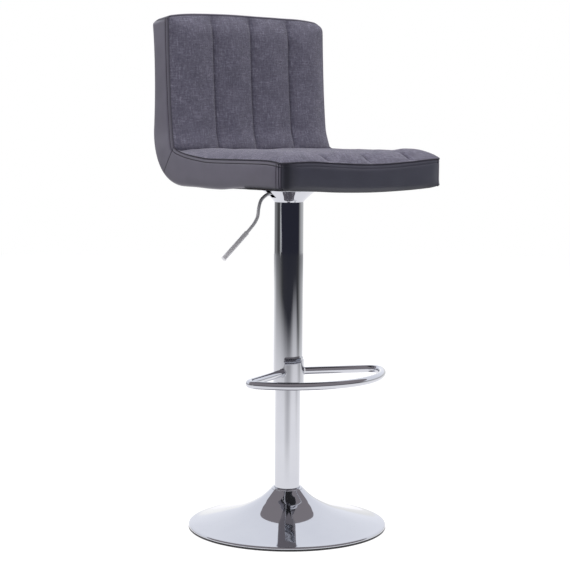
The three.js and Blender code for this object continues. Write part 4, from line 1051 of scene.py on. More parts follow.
# The back's upper corners, right and left in front, and both at the rear.
TOP_ROUND = (0.010, 0.022)
REAR_ROUND = 0.014
REAR_CURVE = 0.011
TOP_FALL = 0.0068
TOP_SHAPED = 0.12
PIPING = 0.0048
PIPING_CENTRE = (0.1395, back_top - PIPING)
LEAN_IN = 0.0040
LEAN_BACK = 0.0062
LEAN_RISE = 0.063


def bow(a, pull, b, steps):
    """A curve from a to b that is pulled towards a point."""
    t = np.linspace(0, 1, steps + 1)[:, None]
    a, pull, b = np.array(a), np.array(pull), np.array(b)
    return (1 - t) ** 2 * a + 2 * t * (1 - t) * pull + t**2 * b


def arc(centre, radius, start, end, steps):
    angle = np.radians(np.linspace(start, end, steps + 1))
    return np.column_stack([centre[0] + radius * np.cos(angle),
                            centre[1] + radius * np.sin(angle)])


def bend_arc(start, end, steps):
    """Part of the bend under the back, a little fuller halfway round."""
    angle = np.radians(np.linspace(start, end, steps + 1))
    reach = BEND_RADIUS + BEND_FULL * np.sin(2 * angle) ** 2
    return np.column_stack([bend_centre[0] + reach * np.cos(angle),
                            bend_centre[1] + reach * np.sin(angle)])


def length_of(line):
    return np.linalg.norm(np.diff(line, axis=0), axis=1).sum()


def spaced(line, places):
    """Points at distances along a line, as shares of its length."""
    gaps = np.linalg.norm(np.diff(line, axis=0), axis=1)
    run_up = np.concatenate([[0], np.cumsum(gaps)]) / gaps.sum()
    return np.column_stack([np.interp(places, run_up, values) for values in line.T])


def seat_seam(front_height):
    """The seam at a side of the seat, from the front to the corner under the back."""
    return smooth_line([
        (seat_front, front_height), (-0.216, 0.6 * 0.7615 + 0.4 * front_height),
        (-0.19, SEAT_LEVEL), (-0.1, SEAT_LEVEL), (0, SEAT_LEVEL), (0.03, 0.7645),
        (0.06, 0.768), (0.088, 0.773), (0.104, 0.7775), CORNER,
    ], 8)


back_seam = bow(CORNER, (0.130, 0.860), SEAM_TOP, 40)
underside = smooth_line([
    (seat_front, 0.7090), (-0.17, 0.7098), (-0.108, 0.7085), (-0.072, 0.7060), (-0.043, 0.7040),
    (0, 0.7042), (0.037, 0.7055), (0.06, 0.7058), (bend_centre[0], seat_floor),
], 8)
low_edge = np.vstack([underside[:-1], bend_arc(-90, MITRE_ANGLE, 24)])
rear_corner = (back_rear - REAR_CURVE, back_top - REAR_CURVE)
rear_face = bow((REAR_DEPTH, bend_centre[1]), (0.1795, 0.925), (back_rear, rear_corner[1]), 40)
rear_edge = np.vstack([
    bend_arc(MITRE_ANGLE, 0, 30)[:-1], rear_face[:-1], arc(rear_corner, REAR_CURVE, 0, 60, 10),
])
top_edge = np.vstack([
    [SEAM_TOP], arc(PIPING_CENTRE, PIPING, 172, 90, 8)[:-1],
    arc(rear_corner, REAR_CURVE, 90, 60, 6),
])
# The top edge, as (place across, height over the top).
top_line = smooth_line([
    (-0.205, -0.0074), (-0.170, -0.0030), (-0.138, -0.0007), (-0.09, 0.0009), (-0.035, 0.0017),
    (0.03, 0.0009), (0.1, 0.0003), (0.1335, 0.0001), (0.165, -0.0017), (0.1856, -0.0042),
    (0.205, -0.0070),
], 8)


def soft(value):
    """The same as unit, but with an even turn at both ends."""
    value = unit(value)
    return value**2 * (3 - 2 * value)


def shape_back(points):
    """Bows the top of the back, rounds its two corners, and leans it back a little."""
    p = np.array(points, float)
    flat = p.reshape(-1, 3)
    high = unit((flat[:, 2] - (back_top - TOP_SHAPED)) / TOP_SHAPED)
    bowed = np.interp(flat[:, 0], top_line[:, 0], top_line[:, 1])
    near = np.where(flat[:, 0] < 0, *TOP_ROUND)
    deep = unit((flat[:, 1] - SEAM_TOP[0]) / (back_rear - SEAM_TOP[0]))
    radius = near + (REAR_ROUND - near) * deep
    a = np.abs(flat[:, 0]) - (half_width - radius)
    b = flat[:, 2] - (back_top - radius)
    hit = (a > 0) & (b > 0)
    r = radius[hit]
    a, b = a[hit] / r, b[hit] / r
    new_a = a * np.sqrt(np.clip(1 - b * b / 2, 0, None))
    new_b = b * np.sqrt(np.clip(1 - a * a / 2, 0, None))
    flat[hit, 0] = np.sign(flat[hit, 0]) * (half_width - r + new_a * r)
    flat[hit, 2] = back_top - r + new_b * r
    flat[:, 2] += (bowed - TOP_FALL * deep) * high**2
    rise = soft((flat[:, 2] - SEAT_LEVEL) / LEAN_RISE)
    flat[:, 0] *= 1 - LEAN_IN / half_width * rise
    flat[:, 1] += LEAN_BACK * rise
    return flat.reshape(p.shape)


def ripple(points, size, seed):
    """A soft random height, from -1 to 1, at each point."""
    shift = Vector((seed * 3.7, seed * 1.3, seed * 7.1))
    flat = np.asarray(points, float).reshape(-1, 3)
    made = [noise.noise(Vector(p) / size + shift) for p in flat]
    return np.array(made).reshape(np.asarray(points).shape[:-1])


def to_line(points, line):
    """The distance of each flat point to a line."""
    flat = points.reshape(-1, 1, 2)
    a, b = line[:-1][None], line[1:][None]
    along = b - a
    t = unit(((flat - a) * along).sum(-1) / (along**2).sum(-1))
    apart = np.linalg.norm(flat - a - t[..., None] * along, axis=-1).min(1)
    return apart.reshape(points.shape[:-1])


# ---- Foam ----------------------------------------------------------------------------
# Blocks of pale polyurethane foam, cut to the lines of the covers and glued to the
# boards. The leather and the quilted cloth are drawn over them.

FOAM_GAP = 0.005


def make_foam():
    finish, g, shader = new_finish("cut_foam", (0.72, 0.66, 0.47), 0.95)
    cells = g.node("ShaderNodeTexVoronoi", {}, {"Vector": g.place(), "Scale": 600.0})
    vary(g, shader, cells, ((0.1, (0.55, 0.48, 0.32)), (0.6, (0.78, 0.72, 0.54))),
         cells, (0.9, 1.0), (cells, 0.0005, 0.7))
    return finish


foam = make_foam()


def foam_block(name, outline, node):
    """A block with a side outline of (depth, height) and softly rounded ends."""
    line = np.array(outline, float)
    towards = line.mean(axis=0) - line
    towards /= np.linalg.norm(towards, axis=1)[:, None]
    half = half_width - FOAM_GAP
    stations = [(-half, 0.005), (-half + 0.002, 0.0015), (-half + 0.006, 0)]
    stations += [(-x, pull) for x, pull in stations[::-1]]
    m = len(line)
    points = [(x, *(line[k] + towards[k] * pull)) for x, pull in stations for k in range(m)]
    made = put(name, shape_back(points), joined_loops(len(stations), m), foam)
    facing_out(made.data)
    place_on(made, "seat_unit", "foam", node)


def facing_out(mesh):
    """Turns a closed mesh the right way out."""
    form = bmesh.new()
    form.from_mesh(mesh)
    if form.calc_volume(signed=True) < 0:
        bmesh.ops.reverse_faces(form, faces=form.faces)
    form.to_mesh(mesh)
    form.free()


board_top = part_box("seat_board")[1].z
foam_block("seat_foam_block", [
    (seat_front + 0.007, board_top), (seat_front + 0.007, 0.748), (seat_front + 0.013, 0.7525),
    (-0.17, 0.7545), (0.10, 0.7600), (0.113, 0.7640), (0.150, 0.7640), (0.145, 0.7440),
    (0.130, 0.7310), (0.112, board_top),
], "seat_foam")
board_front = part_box("back_board")[0].y
foam_block("back_foam_block", [
    (0.1185, 0.770), *[(y + 0.0022, z) for y, z in back_seam[2:-4:4]], (0.1375, 1.042),
    (0.146, 1.046), (board_front - LEAN_BACK, 1.042), (board_front - LEAN_BACK, 0.80),
    (board_front - 0.004, 0.770),
], "back_foam")

# ---- Leather covers ------------------------------------------------------------------
# Smooth charcoal leather with a thin backing, sewn from a panel for each side, one for the
# front and one for the rear that folds over the top. Seams are top-stitched beside the edge.

COVER = 0.0022
SEAM_ROLL = 0.003
EDGE_ROLL = 0.004
LEFT_CORNER_ROLL = 0.010
ROLL_MOST = 0.0055
STITCH_GAP = 0.0065
STITCH_GAP_BACK = 0.0095
STITCH_WIDTH = 0.0011
STITCH_DEPTH = 0.0011
CORNER_STITCH = 0.0118
MITRE_WIDTH = 0.0012
MITRE_DEPTH = 0.0006
# How far the hide swells between its seams, and from how far off.
PUFF = 0.0020
PUFF_REACH = 0.011
PUFF_REACH_BACK = 0.007
# How far a side draws in towards the front corner, and along what length.
DRAW_IN = 0.0016
DRAW_LENGTH = 0.03
WRINKLE = 0.00025
UNEVEN = 0.0005
# The mark paints shade: 0 on the open hide, up to 1 in seams and grooves, along edges and where
# the hide turns under.
PAINTED_SHADE_COLOUR = (0.004, 0.005, 0.012, 1)
# Distances from an edge at which the mesh has a row of points.
fine_steps = (0, 0.00003, 0.00012, 0.00027, 0.0005, 0.0008, 0.0012, 0.0017, 0.0023, 0.003)
roll_steps = (0, 0.00006, 0.00025, 0.00055, 0.0009, 0.0014, 0.002, 0.0027, 0.0034, 0.0042)
seam_steps = (*fine_steps, 0.0038, 0.0046, 0.0052, 0.0057, 0.0061, 0.0065, 0.0069, 0.0074,
              0.0080)


def make_leather(name, low, high):
    finish, g, shader = new_finish(name, low, 0.42, 0.0, {
        "Specular IOR Level": 0.7, "Coat Roughness": 0.33, "Coat IOR": 1.55})
    place = g.place()
    mark = g.node("ShaderNodeAttribute", {"attribute_name": "fold"}, {}, 2)
    cells = g.node("ShaderNodeTexVoronoi", {"feature": "DISTANCE_TO_EDGE"},
                   {"Vector": place, "Scale": 900.0})
    pores = g.ramp(cells, (0.0, 0.0), (0.12, 1.0))
    cloud = spots(g, place, 22, 3.0)
    hide = g.ramp(cloud, (0.3, low), (0.7, high))
    # Painted shade: where the mark is set, the colour goes near black, matt and without coat.
    shade = g.blend(mark, hide, PAINTED_SHADE_COLOUR)
    rough = g.between(mark, g.between(cloud, 0.38, 0.5), 0.8)
    relief = pores * 0.6 + spots(g, place, 260, 2.0)
    feed(g, shader, Base_Color=shade, Roughness=rough, Normal=bump(g, relief, 0.00012, 0.5),
         Coat_Weight=(1 - mark) * 0.95)
    return finish


# Two copies of one leather: the darker copy on the front is painted shade for a panel that gets
# less light.
leather = make_leather("charcoal_leather", (0.095, 0.087, 0.123), (0.117, 0.108, 0.151))
shaded_front_leather = make_leather("shaded_front_leather", (0.026, 0.028, 0.048), (0.034, 0.037, 0.062))


def solidify(piece, thickness):
    """Gives a sheet its thickness, inwards."""
    change = piece.modifiers.new("thickness", "SOLIDIFY")
    change.thickness = thickness
    change.offset = -1
    flatten(piece, 40)
    facing_out(piece.data)


def sheet(name, grid, finish, outwards, marks, thickness=COVER):
    """A sheet over a grid, with its face towards a direction, and its thickness behind."""
    rows, cols = grid.shape[:2]
    faces = [(r * cols + c, r * cols + c + 1, (r + 1) * cols + c + 1, (r + 1) * cols + c)
             for r in range(rows - 1) for c in range(cols - 1)]
    mesh = new_mesh(name, grid.reshape(-1, 3), [], faces, marks)
    mesh.update()
    facing = sum((p.normal * p.area for p in mesh.polygons), Vector())
    if facing @ Vector(outwards) < 0:
        mesh.flip_normals()
    mesh.polygons.foreach_set("use_smooth", [True] * len(mesh.polygons))
    mesh.materials.append(finish)
    made = link(name, mesh)
    solidify(made, thickness)
    return made


def groove(distance, width):
    """1 on a line, falling off to nothing within about two widths of it."""
    return np.exp(-((distance / width) ** 2))


def puffed(distance, width):
    """0 at a seam, rising to 1 away from it."""
    return 1 - np.exp(-distance / width)


def seam_columns(seat_length, back_length):
    """Places along the seam, as 0 to 1 on the seat and 1 to 2 on the back."""
    front = np.array([*fine_steps, 0.0045, 0.0065, 0.0085, 0.0098, 0.0107, 0.0113, 0.0118,
                      0.0123, 0.0129, 0.0138])
    mitre = np.array([0, 0.0003, 0.0007, 0.0012, 0.0018, 0.0026, 0.0036, 0.005])
    ends = np.array([*roll_steps, 0.0062])
    seat = np.concatenate([front, np.arange(0.016, seat_length - 0.0065, 0.003),
                           seat_length - mitre[::-1]]) / seat_length
    back = np.concatenate([mitre[1:], np.arange(0.0075, back_length - 0.0075, 0.003),
                           back_length - ends[::-1]]) / back_length
    return seat, back


def make_side_cover(name, side, front_height):
    """A side panel: flat across from seam to edge, then rolled, puffed and stitched."""
    seam = seat_seam(front_height)
    seat_places, back_places = seam_columns(length_of(seam), length_of(back_seam))
    inner = np.vstack([spaced(seam, seat_places), spaced(back_seam, back_places)])
    outer = np.vstack([spaced(low_edge, seat_places), spaced(rear_edge, back_places)])
    along = np.concatenate([seat_places, 1 + back_places])
    on_back = unit((along - 0.93) / 0.14)
    gap = STITCH_GAP + (STITCH_GAP_BACK - STITCH_GAP) * on_back
    rows_in = np.array([*seam_steps, 0.0085, 0.0089, 0.0093, 0.0097, 0.0102, 0.0108, 0.0116,
                        0.013])
    rows_out = np.array(roll_steps[::-1])
    span = np.linalg.norm(outer - inner, axis=1)
    middle = np.linspace(0, 1, 12)[1:-1]
    v = np.stack([
        np.concatenate([rows_in, rows_in[-1] + middle * (s - rows_in[-1] - roll_steps[-1]),
                        s - rows_out]) / s for s in span
    ], axis=1)
    flat = inner[None] + v[..., None] * (outer - inner)[None]
    bulge = np.interp(SEAM_TOP[0] + v * (rear_edge[-1, 0] - SEAM_TOP[0]), top_edge[:, 0],
                      top_edge[:, 1])
    bulge -= SEAM_TOP[1] + v * (rear_edge[-1, 1] - SEAM_TOP[1])
    flat[..., 1] += bulge * soft((along - 1.86) / 0.14)
    # How far each point is from the seam, the outer edge, the front, the top and the mitre.
    d_seam = to_line(flat, np.vstack([seam[:-1], back_seam]))
    d_edge = to_line(flat, np.vstack([low_edge[:-1], rear_edge]))
    d_front = flat[..., 0] - seat_front
    d_top = to_line(flat, top_edge)
    d_mitre = to_line(flat, np.array([CORNER, rear_edge[0]]))
    nearest = np.minimum.reduce([d_seam, d_edge, d_front, d_top])
    inward = unit(d_seam / 0.004)
    stitched = groove(d_seam - gap, STITCH_WIDTH)
    stitched = np.maximum(stitched, groove(d_front - CORNER_STITCH, 0.0010) * inward)
    joined = groove(d_mitre, MITRE_WIDTH) * inward
    corner_roll = LEFT_CORNER_ROLL if side > 0 else SEAM_ROLL
    drop = fall(d_seam, SEAM_ROLL) + fall(d_front, corner_roll) * 0.8
    drop += fall(d_edge, EDGE_ROLL) + fall(d_top, EDGE_ROLL) * 0.8
    drop = np.minimum(drop, ROLL_MOST) + STITCH_DEPTH * stitched + MITRE_DEPTH * joined
    puff_reach = PUFF_REACH + (PUFF_REACH_BACK - PUFF_REACH) * on_back
    drop -= PUFF * (1 - 0.6 * on_back) * puffed(nearest, puff_reach)
    drop += DRAW_IN * unit(1 - d_front / DRAW_LENGTH) ** 2
    flat_x = np.full(flat.shape[:-1], side * half_width)
    points = np.stack([flat_x, flat[..., 0], flat[..., 1]], -1)
    wrinkled = WRINKLE * groove(d_seam - gap - 0.004, 0.006)
    drop += wrinkled * ripple(points, 0.007, 3 + side)
    drop -= UNEVEN * ripple(points, 0.05, 9 + side) * unit(nearest / 0.012)
    points[..., 0] -= side * drop
    # Painted shade, as the mark: dark seam, stitch and mitre grooves and edges, a band along
    # the top edge, and darker near the bottom edge at the front and low under the seat.
    low_side = unit((0.76 - flat[..., 1]) / 0.02)
    shaded = 0.003 + 0.008 * (1 - v)
    front_bottom_shade = unit((-0.118 - flat[..., 0]) / 0.006)
    front_bottom_shade *= unit(1.5 - d_edge / 0.0042)
    fold = np.maximum.reduce([
        (0.92 - 0.2 * on_back) * stitched, 0.95 * joined, 0.9 * groove(d_seam, 0.0016),
        (0.9 if side < 0 else 0.3) * groove(d_front, 0.0013), 0.5 * groove(d_edge, 0.0012),
        0.75 * unit(1.6 - 1.6 * d_top / shaded),
        0.2 * on_back * unit(1.5 - d_seam / gap), front_bottom_shade,
        0.26 * groove(d_edge - 0.004, 0.011) * low_side])
    return sheet(name, shape_back(points), leather, (side, 0, 0), {"fold": fold})


for (side, label), height in zip(SIDES, (FRONT_RIGHT, FRONT_LEFT)):
    side_cover = make_side_cover(f"leather_side_{label}", side, height)
    place_on(side_cover, "seat_unit", "leather", f"side_cover_{label}")

# The upper and the lower line of the front, as (place across, height).
front_seam = smooth_line([
    (-half_width, FRONT_RIGHT), (-0.185, 0.7582), (-0.131, 0.7595), (-0.069, 0.7565),
    (-0.005, 0.7537), (0.06, 0.7542), (0.128, 0.7582), (0.185, 0.7625),
    (half_width, FRONT_LEFT),
], 10)
front_foot = smooth_line([
    (-half_width, 0.7072), (-0.18, 0.7065), (-0.119, 0.7045), (-0.069, 0.7019), (0.0, 0.7003),
    (0.042, 0.7003), (0.124, 0.7027), (0.18, 0.7060), (half_width, 0.7074),
], 10)
FOOT_ROLL = 0.0035
UNDER_FOLD = 0.012
UNDER_LEVEL = 0.7078
UNDER_INSET = 0.004
FRONT_BOW = 0.0045
FAR_ROLL = 0.006
NEAR_ROLL_MOST = 0.0045
FRONT_STITCH_DEPTH = 0.0008
FRONT_PUFF = 0.0012
FRONT_PUFF_REACH = 0.008
FRONT_DRAW_IN = 0.0030
FRONT_UNEVEN = 0.0007


def make_front_cover():
    """The front panel: down from the seam, round the foot and in under the board."""
    ends = np.array([*fine_steps, 0.0038, 0.0047, 0.0058, 0.0075])
    x = np.concatenate([ends, np.linspace(0.010, 2 * half_width - 0.010, 150),
                        (2 * half_width - ends)[::-1]]) - half_width
    top = np.interp(x, front_seam[:, 0], front_seam[:, 1])
    foot = np.interp(x, front_foot[:, 0], front_foot[:, 1])
    rows_in = np.array([*seam_steps, 0.009, 0.0105])
    down = top - foot - FOOT_ROLL
    middle = np.linspace(0, 1, 13)[1:]
    straight = np.stack([np.concatenate([rows_in, rows_in[-1] + middle * (d - rows_in[-1])])
                         for d in down], axis=1)
    turn = np.radians(np.linspace(0, 90, 9)[1:])
    fold_in = np.linspace(0, UNDER_FOLD, 6)[1:]
    rows = len(straight) + len(turn) + len(fold_in)
    points = np.zeros((rows, len(x), 3))
    normal = np.zeros((rows, len(x), 2))
    points[..., 0] = x
    n = len(straight)
    points[:n, :, 1] = seat_front
    points[:n, :, 2] = top - straight
    normal[:n] = (-1, 0)
    for i, a in enumerate(turn):
        points[n + i, :, 0] *= 1 - UNDER_INSET / half_width * math.sin(a)
        points[n + i, :, 1] = seat_front + FOOT_ROLL * (1 - math.cos(a))
        points[n + i, :, 2] = foot + FOOT_ROLL * (1 - math.sin(a))
        normal[n + i] = (-math.cos(a), -math.sin(a))
    for i, reach in enumerate(fold_in, n + len(turn)):
        points[i, :, 0] *= 1 - UNDER_INSET / half_width
        points[i, :, 1] = seat_front + FOOT_ROLL + reach
        points[i, :, 2] = foot + (UNDER_LEVEL - foot) * reach / UNDER_FOLD
        normal[i] = (0, -1)
    d_seam = np.zeros((rows, len(x)))
    d_seam[:n] = straight
    d_seam[n:] = straight[-1] + np.linspace(0.0015, 0.028, rows - n)[:, None]
    d_side = np.tile(half_width - np.abs(x), (rows, 1))
    d_foot = np.clip(np.tile(down, (rows, 1)) + 0.006 - d_seam, 0, None)
    stitched = groove(d_seam - STITCH_GAP, STITCH_WIDTH) * 0.6
    nearest = np.minimum.reduce([d_seam, d_side, d_foot])
    far = points[..., 0] > 0
    above = np.clip((d_foot - 0.005) / 0.012, 0.2, 1)
    drop = 0.8 * fall(d_side, np.where(far, FAR_ROLL, SEAM_ROLL)) * above
    drop += fall(d_seam, SEAM_ROLL)
    drop = np.minimum(drop, np.where(far, FAR_ROLL, NEAR_ROLL_MOST))
    drop += FRONT_STITCH_DEPTH * stitched
    drop -= FRONT_BOW * (1 - (x[None] / half_width) ** 2) * unit(nearest / 0.01)
    drop -= FRONT_PUFF * puffed(nearest, FRONT_PUFF_REACH)
    drop += FRONT_DRAW_IN * unit(1 - d_side / DRAW_LENGTH) ** 2
    drop -= FRONT_UNEVEN * ripple(points, 0.055, 21) * unit(nearest / 0.012)
    points[..., 1] -= normal[..., 0] * drop
    points[..., 2] -= normal[..., 1] * drop
    # Painted shade, as the mark: a dark patch near the left corner, dark seam and stitch
    # grooves and side edges, and a dark foot where the hide turns under.
    corner = np.interp(points[..., 0] + half_width, (0, 0.005, 0.011, 0.018, 0.03, 0.048),
                       (0.1, 0.15, 0.95, 0.9, 0.4, 0))
    fold = np.maximum.reduce([
        0.9 * stitched, 0.75 * groove(d_seam, 0.0014), corner,
        np.where(far, 0.2, 1) * groove(d_side, 0.0015), 0.95 * groove(d_foot, 0.010)])
    return sheet("leather_front", points, shaded_front_leather, (0, -1, 0), {"fold": fold})


front_cover = make_front_cover()
place_on(front_cover, "seat_unit", "leather", "front_cover")


REAR_SIDE_ROLL = 0.0022
REAR_TOP_ROLL = 0.0018
REAR_PUFF = 0.0030
REAR_PUFF_REACH = 0.03
REAR_UNEVEN = 0.0009


def make_rear_cover():
    """The rear panel: from under the seat, up the rear and over the top to the seam."""
    line = np.vstack([
        [(bend_centre[0] - 0.012, seat_floor)], bend_arc(-90, 0, 44),
        rear_face[1:-1], arc(rear_corner, REAR_CURVE, 0, 90, 16),
        arc(PIPING_CENTRE, PIPING, 90, 172, 10), [SEAM_TOP],
    ])
    length = length_of(line)
    places = np.concatenate([
        np.linspace(0, length - 0.075, 110), np.linspace(length - 0.073, length - 0.004, 50),
        length - np.array(fine_steps[::-1]),
    ]) / length
    spine = spaced(line, places)
    along = headings(spine)
    normal = np.column_stack([along[:, 1], -along[:, 0]])
    edge = half_width - EDGE_ROLL - 0.0003
    ends = np.array([0, 0.0001, 0.0004, 0.0009, 0.0016, 0.0025])
    x = np.concatenate([ends, np.linspace(0.006, 2 * edge - 0.006, 84),
                        (2 * edge - ends)[::-1]]) - edge
    d_side = np.tile(edge - np.abs(x), (len(spine), 1))
    d_top = np.tile(((1 - places) * length)[:, None], (1, len(x)))
    d_foot = np.tile((places * length)[:, None], (1, len(x)))
    nearest = np.minimum.reduce([d_side, d_top, d_foot])
    drop = np.minimum(fall(d_side, REAR_SIDE_ROLL) + fall(d_top, REAR_TOP_ROLL), 0.003)
    low_down = np.clip((d_top - 0.03) / 0.06, 0.1, 1)
    drop -= REAR_PUFF * puffed(nearest, REAR_PUFF_REACH) * low_down
    points = np.zeros((len(spine), len(x), 3))
    points[..., 0] = x
    points[..., 1] = spine[:, :1]
    points[..., 2] = spine[:, 1:]
    drop -= REAR_UNEVEN * ripple(points, 0.07, 31) * unit(nearest / 0.02)
    points[..., 1] -= normal[:, :1] * drop
    points[..., 2] -= normal[:, 1:] * drop
    # Painted shade, as the mark, along the side and top edges.
    fold = np.maximum(groove(d_side, 0.0013), groove(d_top, 0.0012))
    return sheet("leather_rear", shape_back(points), leather, (0, 1, 0), {"fold": fold})


rear_cover = make_rear_cover()
place_on(rear_cover, "seat_unit", "leather", "rear_cover")

# ---- Quilted pads --------------------------------------------------------------------
# Charcoal linen-look cloth over wadding, quilted by three rows of stitches into four
# channels, and sewn to the leather all round. The wadding swells between the seams.

CHANNEL = 0.1025
CHANNELS = (-0.205, -CHANNEL, 0, CHANNEL, 0.205)
# Where the rows of quilting and the edges lie at the seat's front and rear and on the back.
SEAT_LINES_FRONT = (-0.205, -0.083, 0.0205, 0.1275, 0.205)
SEAT_LINES_REAR = (-0.205, -0.1, 0.004, 0.107, 0.205)
BACK_LINES = (-0.205, -0.0972, 0.0006, 0.1026, 0.205)
EDGE_HEIGHT = 0.0014
SEAT_CROWN = 0.0158
SEAT_SHOULDER = 0.037
CORNER_FULLNESS = 0.0038
BACK_CROWN = 0.0138
BACK_SHOULDER = 0.046
CHANNEL_DEPTH = 0.0080
CHANNEL_REACH = 0.052
THREAD_PITCH = 0.0011
seat_rear = 0.117
back_foot = 0.768
left_seam = seat_seam(FRONT_LEFT)
right_seam = seat_seam(FRONT_RIGHT)


def make_linen():
    finish, g, shader = new_finish("charcoal_linen", (0.18, 0.175, 0.235), 0.9, 0.0,
                                   {"Sheen Weight": 0.25, "Sheen Roughness": 0.5,
                                    "Specular IOR Level": 0.2})
    cloth = g.node("ShaderNodeTexCoord", {}, {}, 2)
    place = g.place()
    mark = g.node("ShaderNodeAttribute", {"attribute_name": "fold"}, {}, 2)
    wobble = spots(g, cloth, 60, 2.0) * 1.6
    warp = (g.part(cloth, 0) * (math.pi / THREAD_PITCH) + wobble).through("SINE")
    weft = (g.part(cloth, 1) * (math.pi / THREAD_PITCH) - wobble).through("SINE")
    over = warp * weft > 0
    threads = g.between(over, warp.through("ABSOLUTE"), weft.through("ABSOLUTE"))
    upright, level = (
        spots(g, g.node("ShaderNodeMapping", {}, {"Vector": cloth, "Scale": scale}), 1.0, 3.0)
        for scale in ((360, 62, 1), (62, 360, 1)))
    heather = spots(g, place, 330, 3.0, 0.6) * 0.4 + upright * 0.3 + level * 0.3
    tone = g.ramp(heather, (0.38, (0.102, 0.099, 0.140)), (0.5, (0.155, 0.150, 0.203)),
                  (0.62, (0.236, 0.229, 0.296)))
    slub = g.fade(upright, 0.63, 0.7) + g.fade(level, 0.63, 0.7)
    tone = g.blend(slub * 0.3, tone, (0.36, 0.35, 0.43, 1))
    cloud = g.fade(spots(g, place, 45, 3.0), 0.35, 0.68)
    tone = g.blend((1 - cloud) * 0.28, tone, (0.085, 0.082, 0.118, 1))
    # Painted shade: where the mark is set, the cloth goes near black.
    shade = g.blend(mark, tone, (0.03, 0.028, 0.04, 1))
    relief = threads * 0.5 + upright * 0.5 + level * 0.5 + spots(g, place, 240, 3.0) * 0.7
    feed(g, shader, Base_Color=shade, Roughness=g.between(threads, 0.98, 0.85),
         Normal=bump(g, relief, 0.0006, 0.7))
    return finish


linen = make_linen()


def channel_places(lines_front, lines_rear, c, share):
    """Moves even columns so that they run along the rows of quilting."""
    front = np.interp(c, CHANNELS, lines_front)
    rear = np.interp(c, CHANNELS, lines_rear)
    return front + (rear - front) * share


def crown(distance, reach):
    """0 at an edge, 1 from a distance on, rounded in between."""
    near = unit(distance / reach)
    return 1 - (1 - near) ** 2


def both(first, second, power=4):
    """The smaller of two distances, eased where they are alike."""
    first, second = np.maximum(first, 1e-6), np.maximum(second, 1e-6)
    return (first**-power + second**-power) ** (-1 / power)


def smaller(first, second, width=0.002):
    """The smaller of two heights, with a smooth turn between them."""
    return -width * np.logaddexp(-first / width, -second / width)


def quilted(c, rise, height):
    """Sinks the rows of quilting into a pad, so that each channel is rounded."""
    near = np.abs(c[..., None] - np.array(CHANNELS[1:-1])).min(-1)
    dip = 0.35 * groove(near, 0.006) + 0.65 * unit(1 - near / CHANNEL_REACH) ** 2
    return height - CHANNEL_DEPTH * dip * unit(rise * 1.8)


def seat_points(c, b):
    """Where a point of the seat's cloth lies: across, in depth, its base and its height."""
    share = (b - seat_front) / (seat_rear - seat_front)
    x = channel_places(SEAT_LINES_FRONT, SEAT_LINES_REAR, c, share)
    side = (x + half_width) / (2 * half_width)
    right = np.interp(b, right_seam[:, 0], right_seam[:, 1])
    left = np.interp(b, left_seam[:, 0], left_seam[:, 1])
    seam = right + (left - right) * side
    ramp = np.clip(seam - SEAT_LEVEL, 0, None) * unit((b - 0.005) / 0.02)
    straight = FRONT_RIGHT + (FRONT_LEFT - FRONT_RIGHT) * side
    wave = np.interp(x, front_seam[:, 0], front_seam[:, 1]) - straight
    near_front = soft(1 - (b - seat_front) / 0.08)
    edge = half_width - np.abs(x)
    inner = crown(edge, 0.05)
    base = seam - ramp * inner + wave * near_front
    rise = crown(both(edge, b - seat_front, 6), SEAT_SHOULDER)
    full = CORNER_FULLNESS * unit((x - 0.10) / 0.05) * unit((-0.137 - b) / 0.035)
    peak = SEAT_LEVEL + SEAT_CROWN + full - base
    height = quilted(c, rise, EDGE_HEIGHT + peak * rise)
    limit = EDGE_HEIGHT + 0.008 * inner + 0.8 * unit(seat_rear - b)
    turn = np.where(x > 0, 0.007, 0.003)
    out = unit((np.abs(x) - half_width) / turn + 1)
    ahead = unit((seat_front - b) / turn + 1)
    x = x - np.sign(x) * turn * out * (1 - np.sqrt(1 - ahead**2 / 2))
    b = b + turn * ahead * (1 - np.sqrt(1 - out**2 / 2))
    return x, b, base, smaller(height, limit)


def back_points(c, b):
    """The same for the back, where the height stands forwards."""
    x = channel_places(BACK_LINES, BACK_LINES, c, 0)
    hidden = unit((CORNER[1] - b) / 0.006)
    x = x * (1 - 0.0045 / half_width * hidden)
    base = np.interp(b, back_seam[:, 1], back_seam[:, 0])
    rise = crown(both(half_width - np.abs(x), SEAM_TOP[1] - b), BACK_SHOULDER)
    height = quilted(c, rise, EDGE_HEIGHT + BACK_CROWN * rise)
    limit = EDGE_HEIGHT + 0.010 * rise + 0.9 * unit(b - back_foot - 0.006)
    return x, b, base, smaller(height, limit)


def on_seat(x, b, base, height):
    return np.stack([x, b, base + height], -1)


def on_back(x, b, base, height):
    return np.stack([x, base - height, b], -1)


SWELL_STEPS = 20
SWELL_MOST = 0.007
EASINGS_ALONG = 14
EASINGS_ACROSS = 2


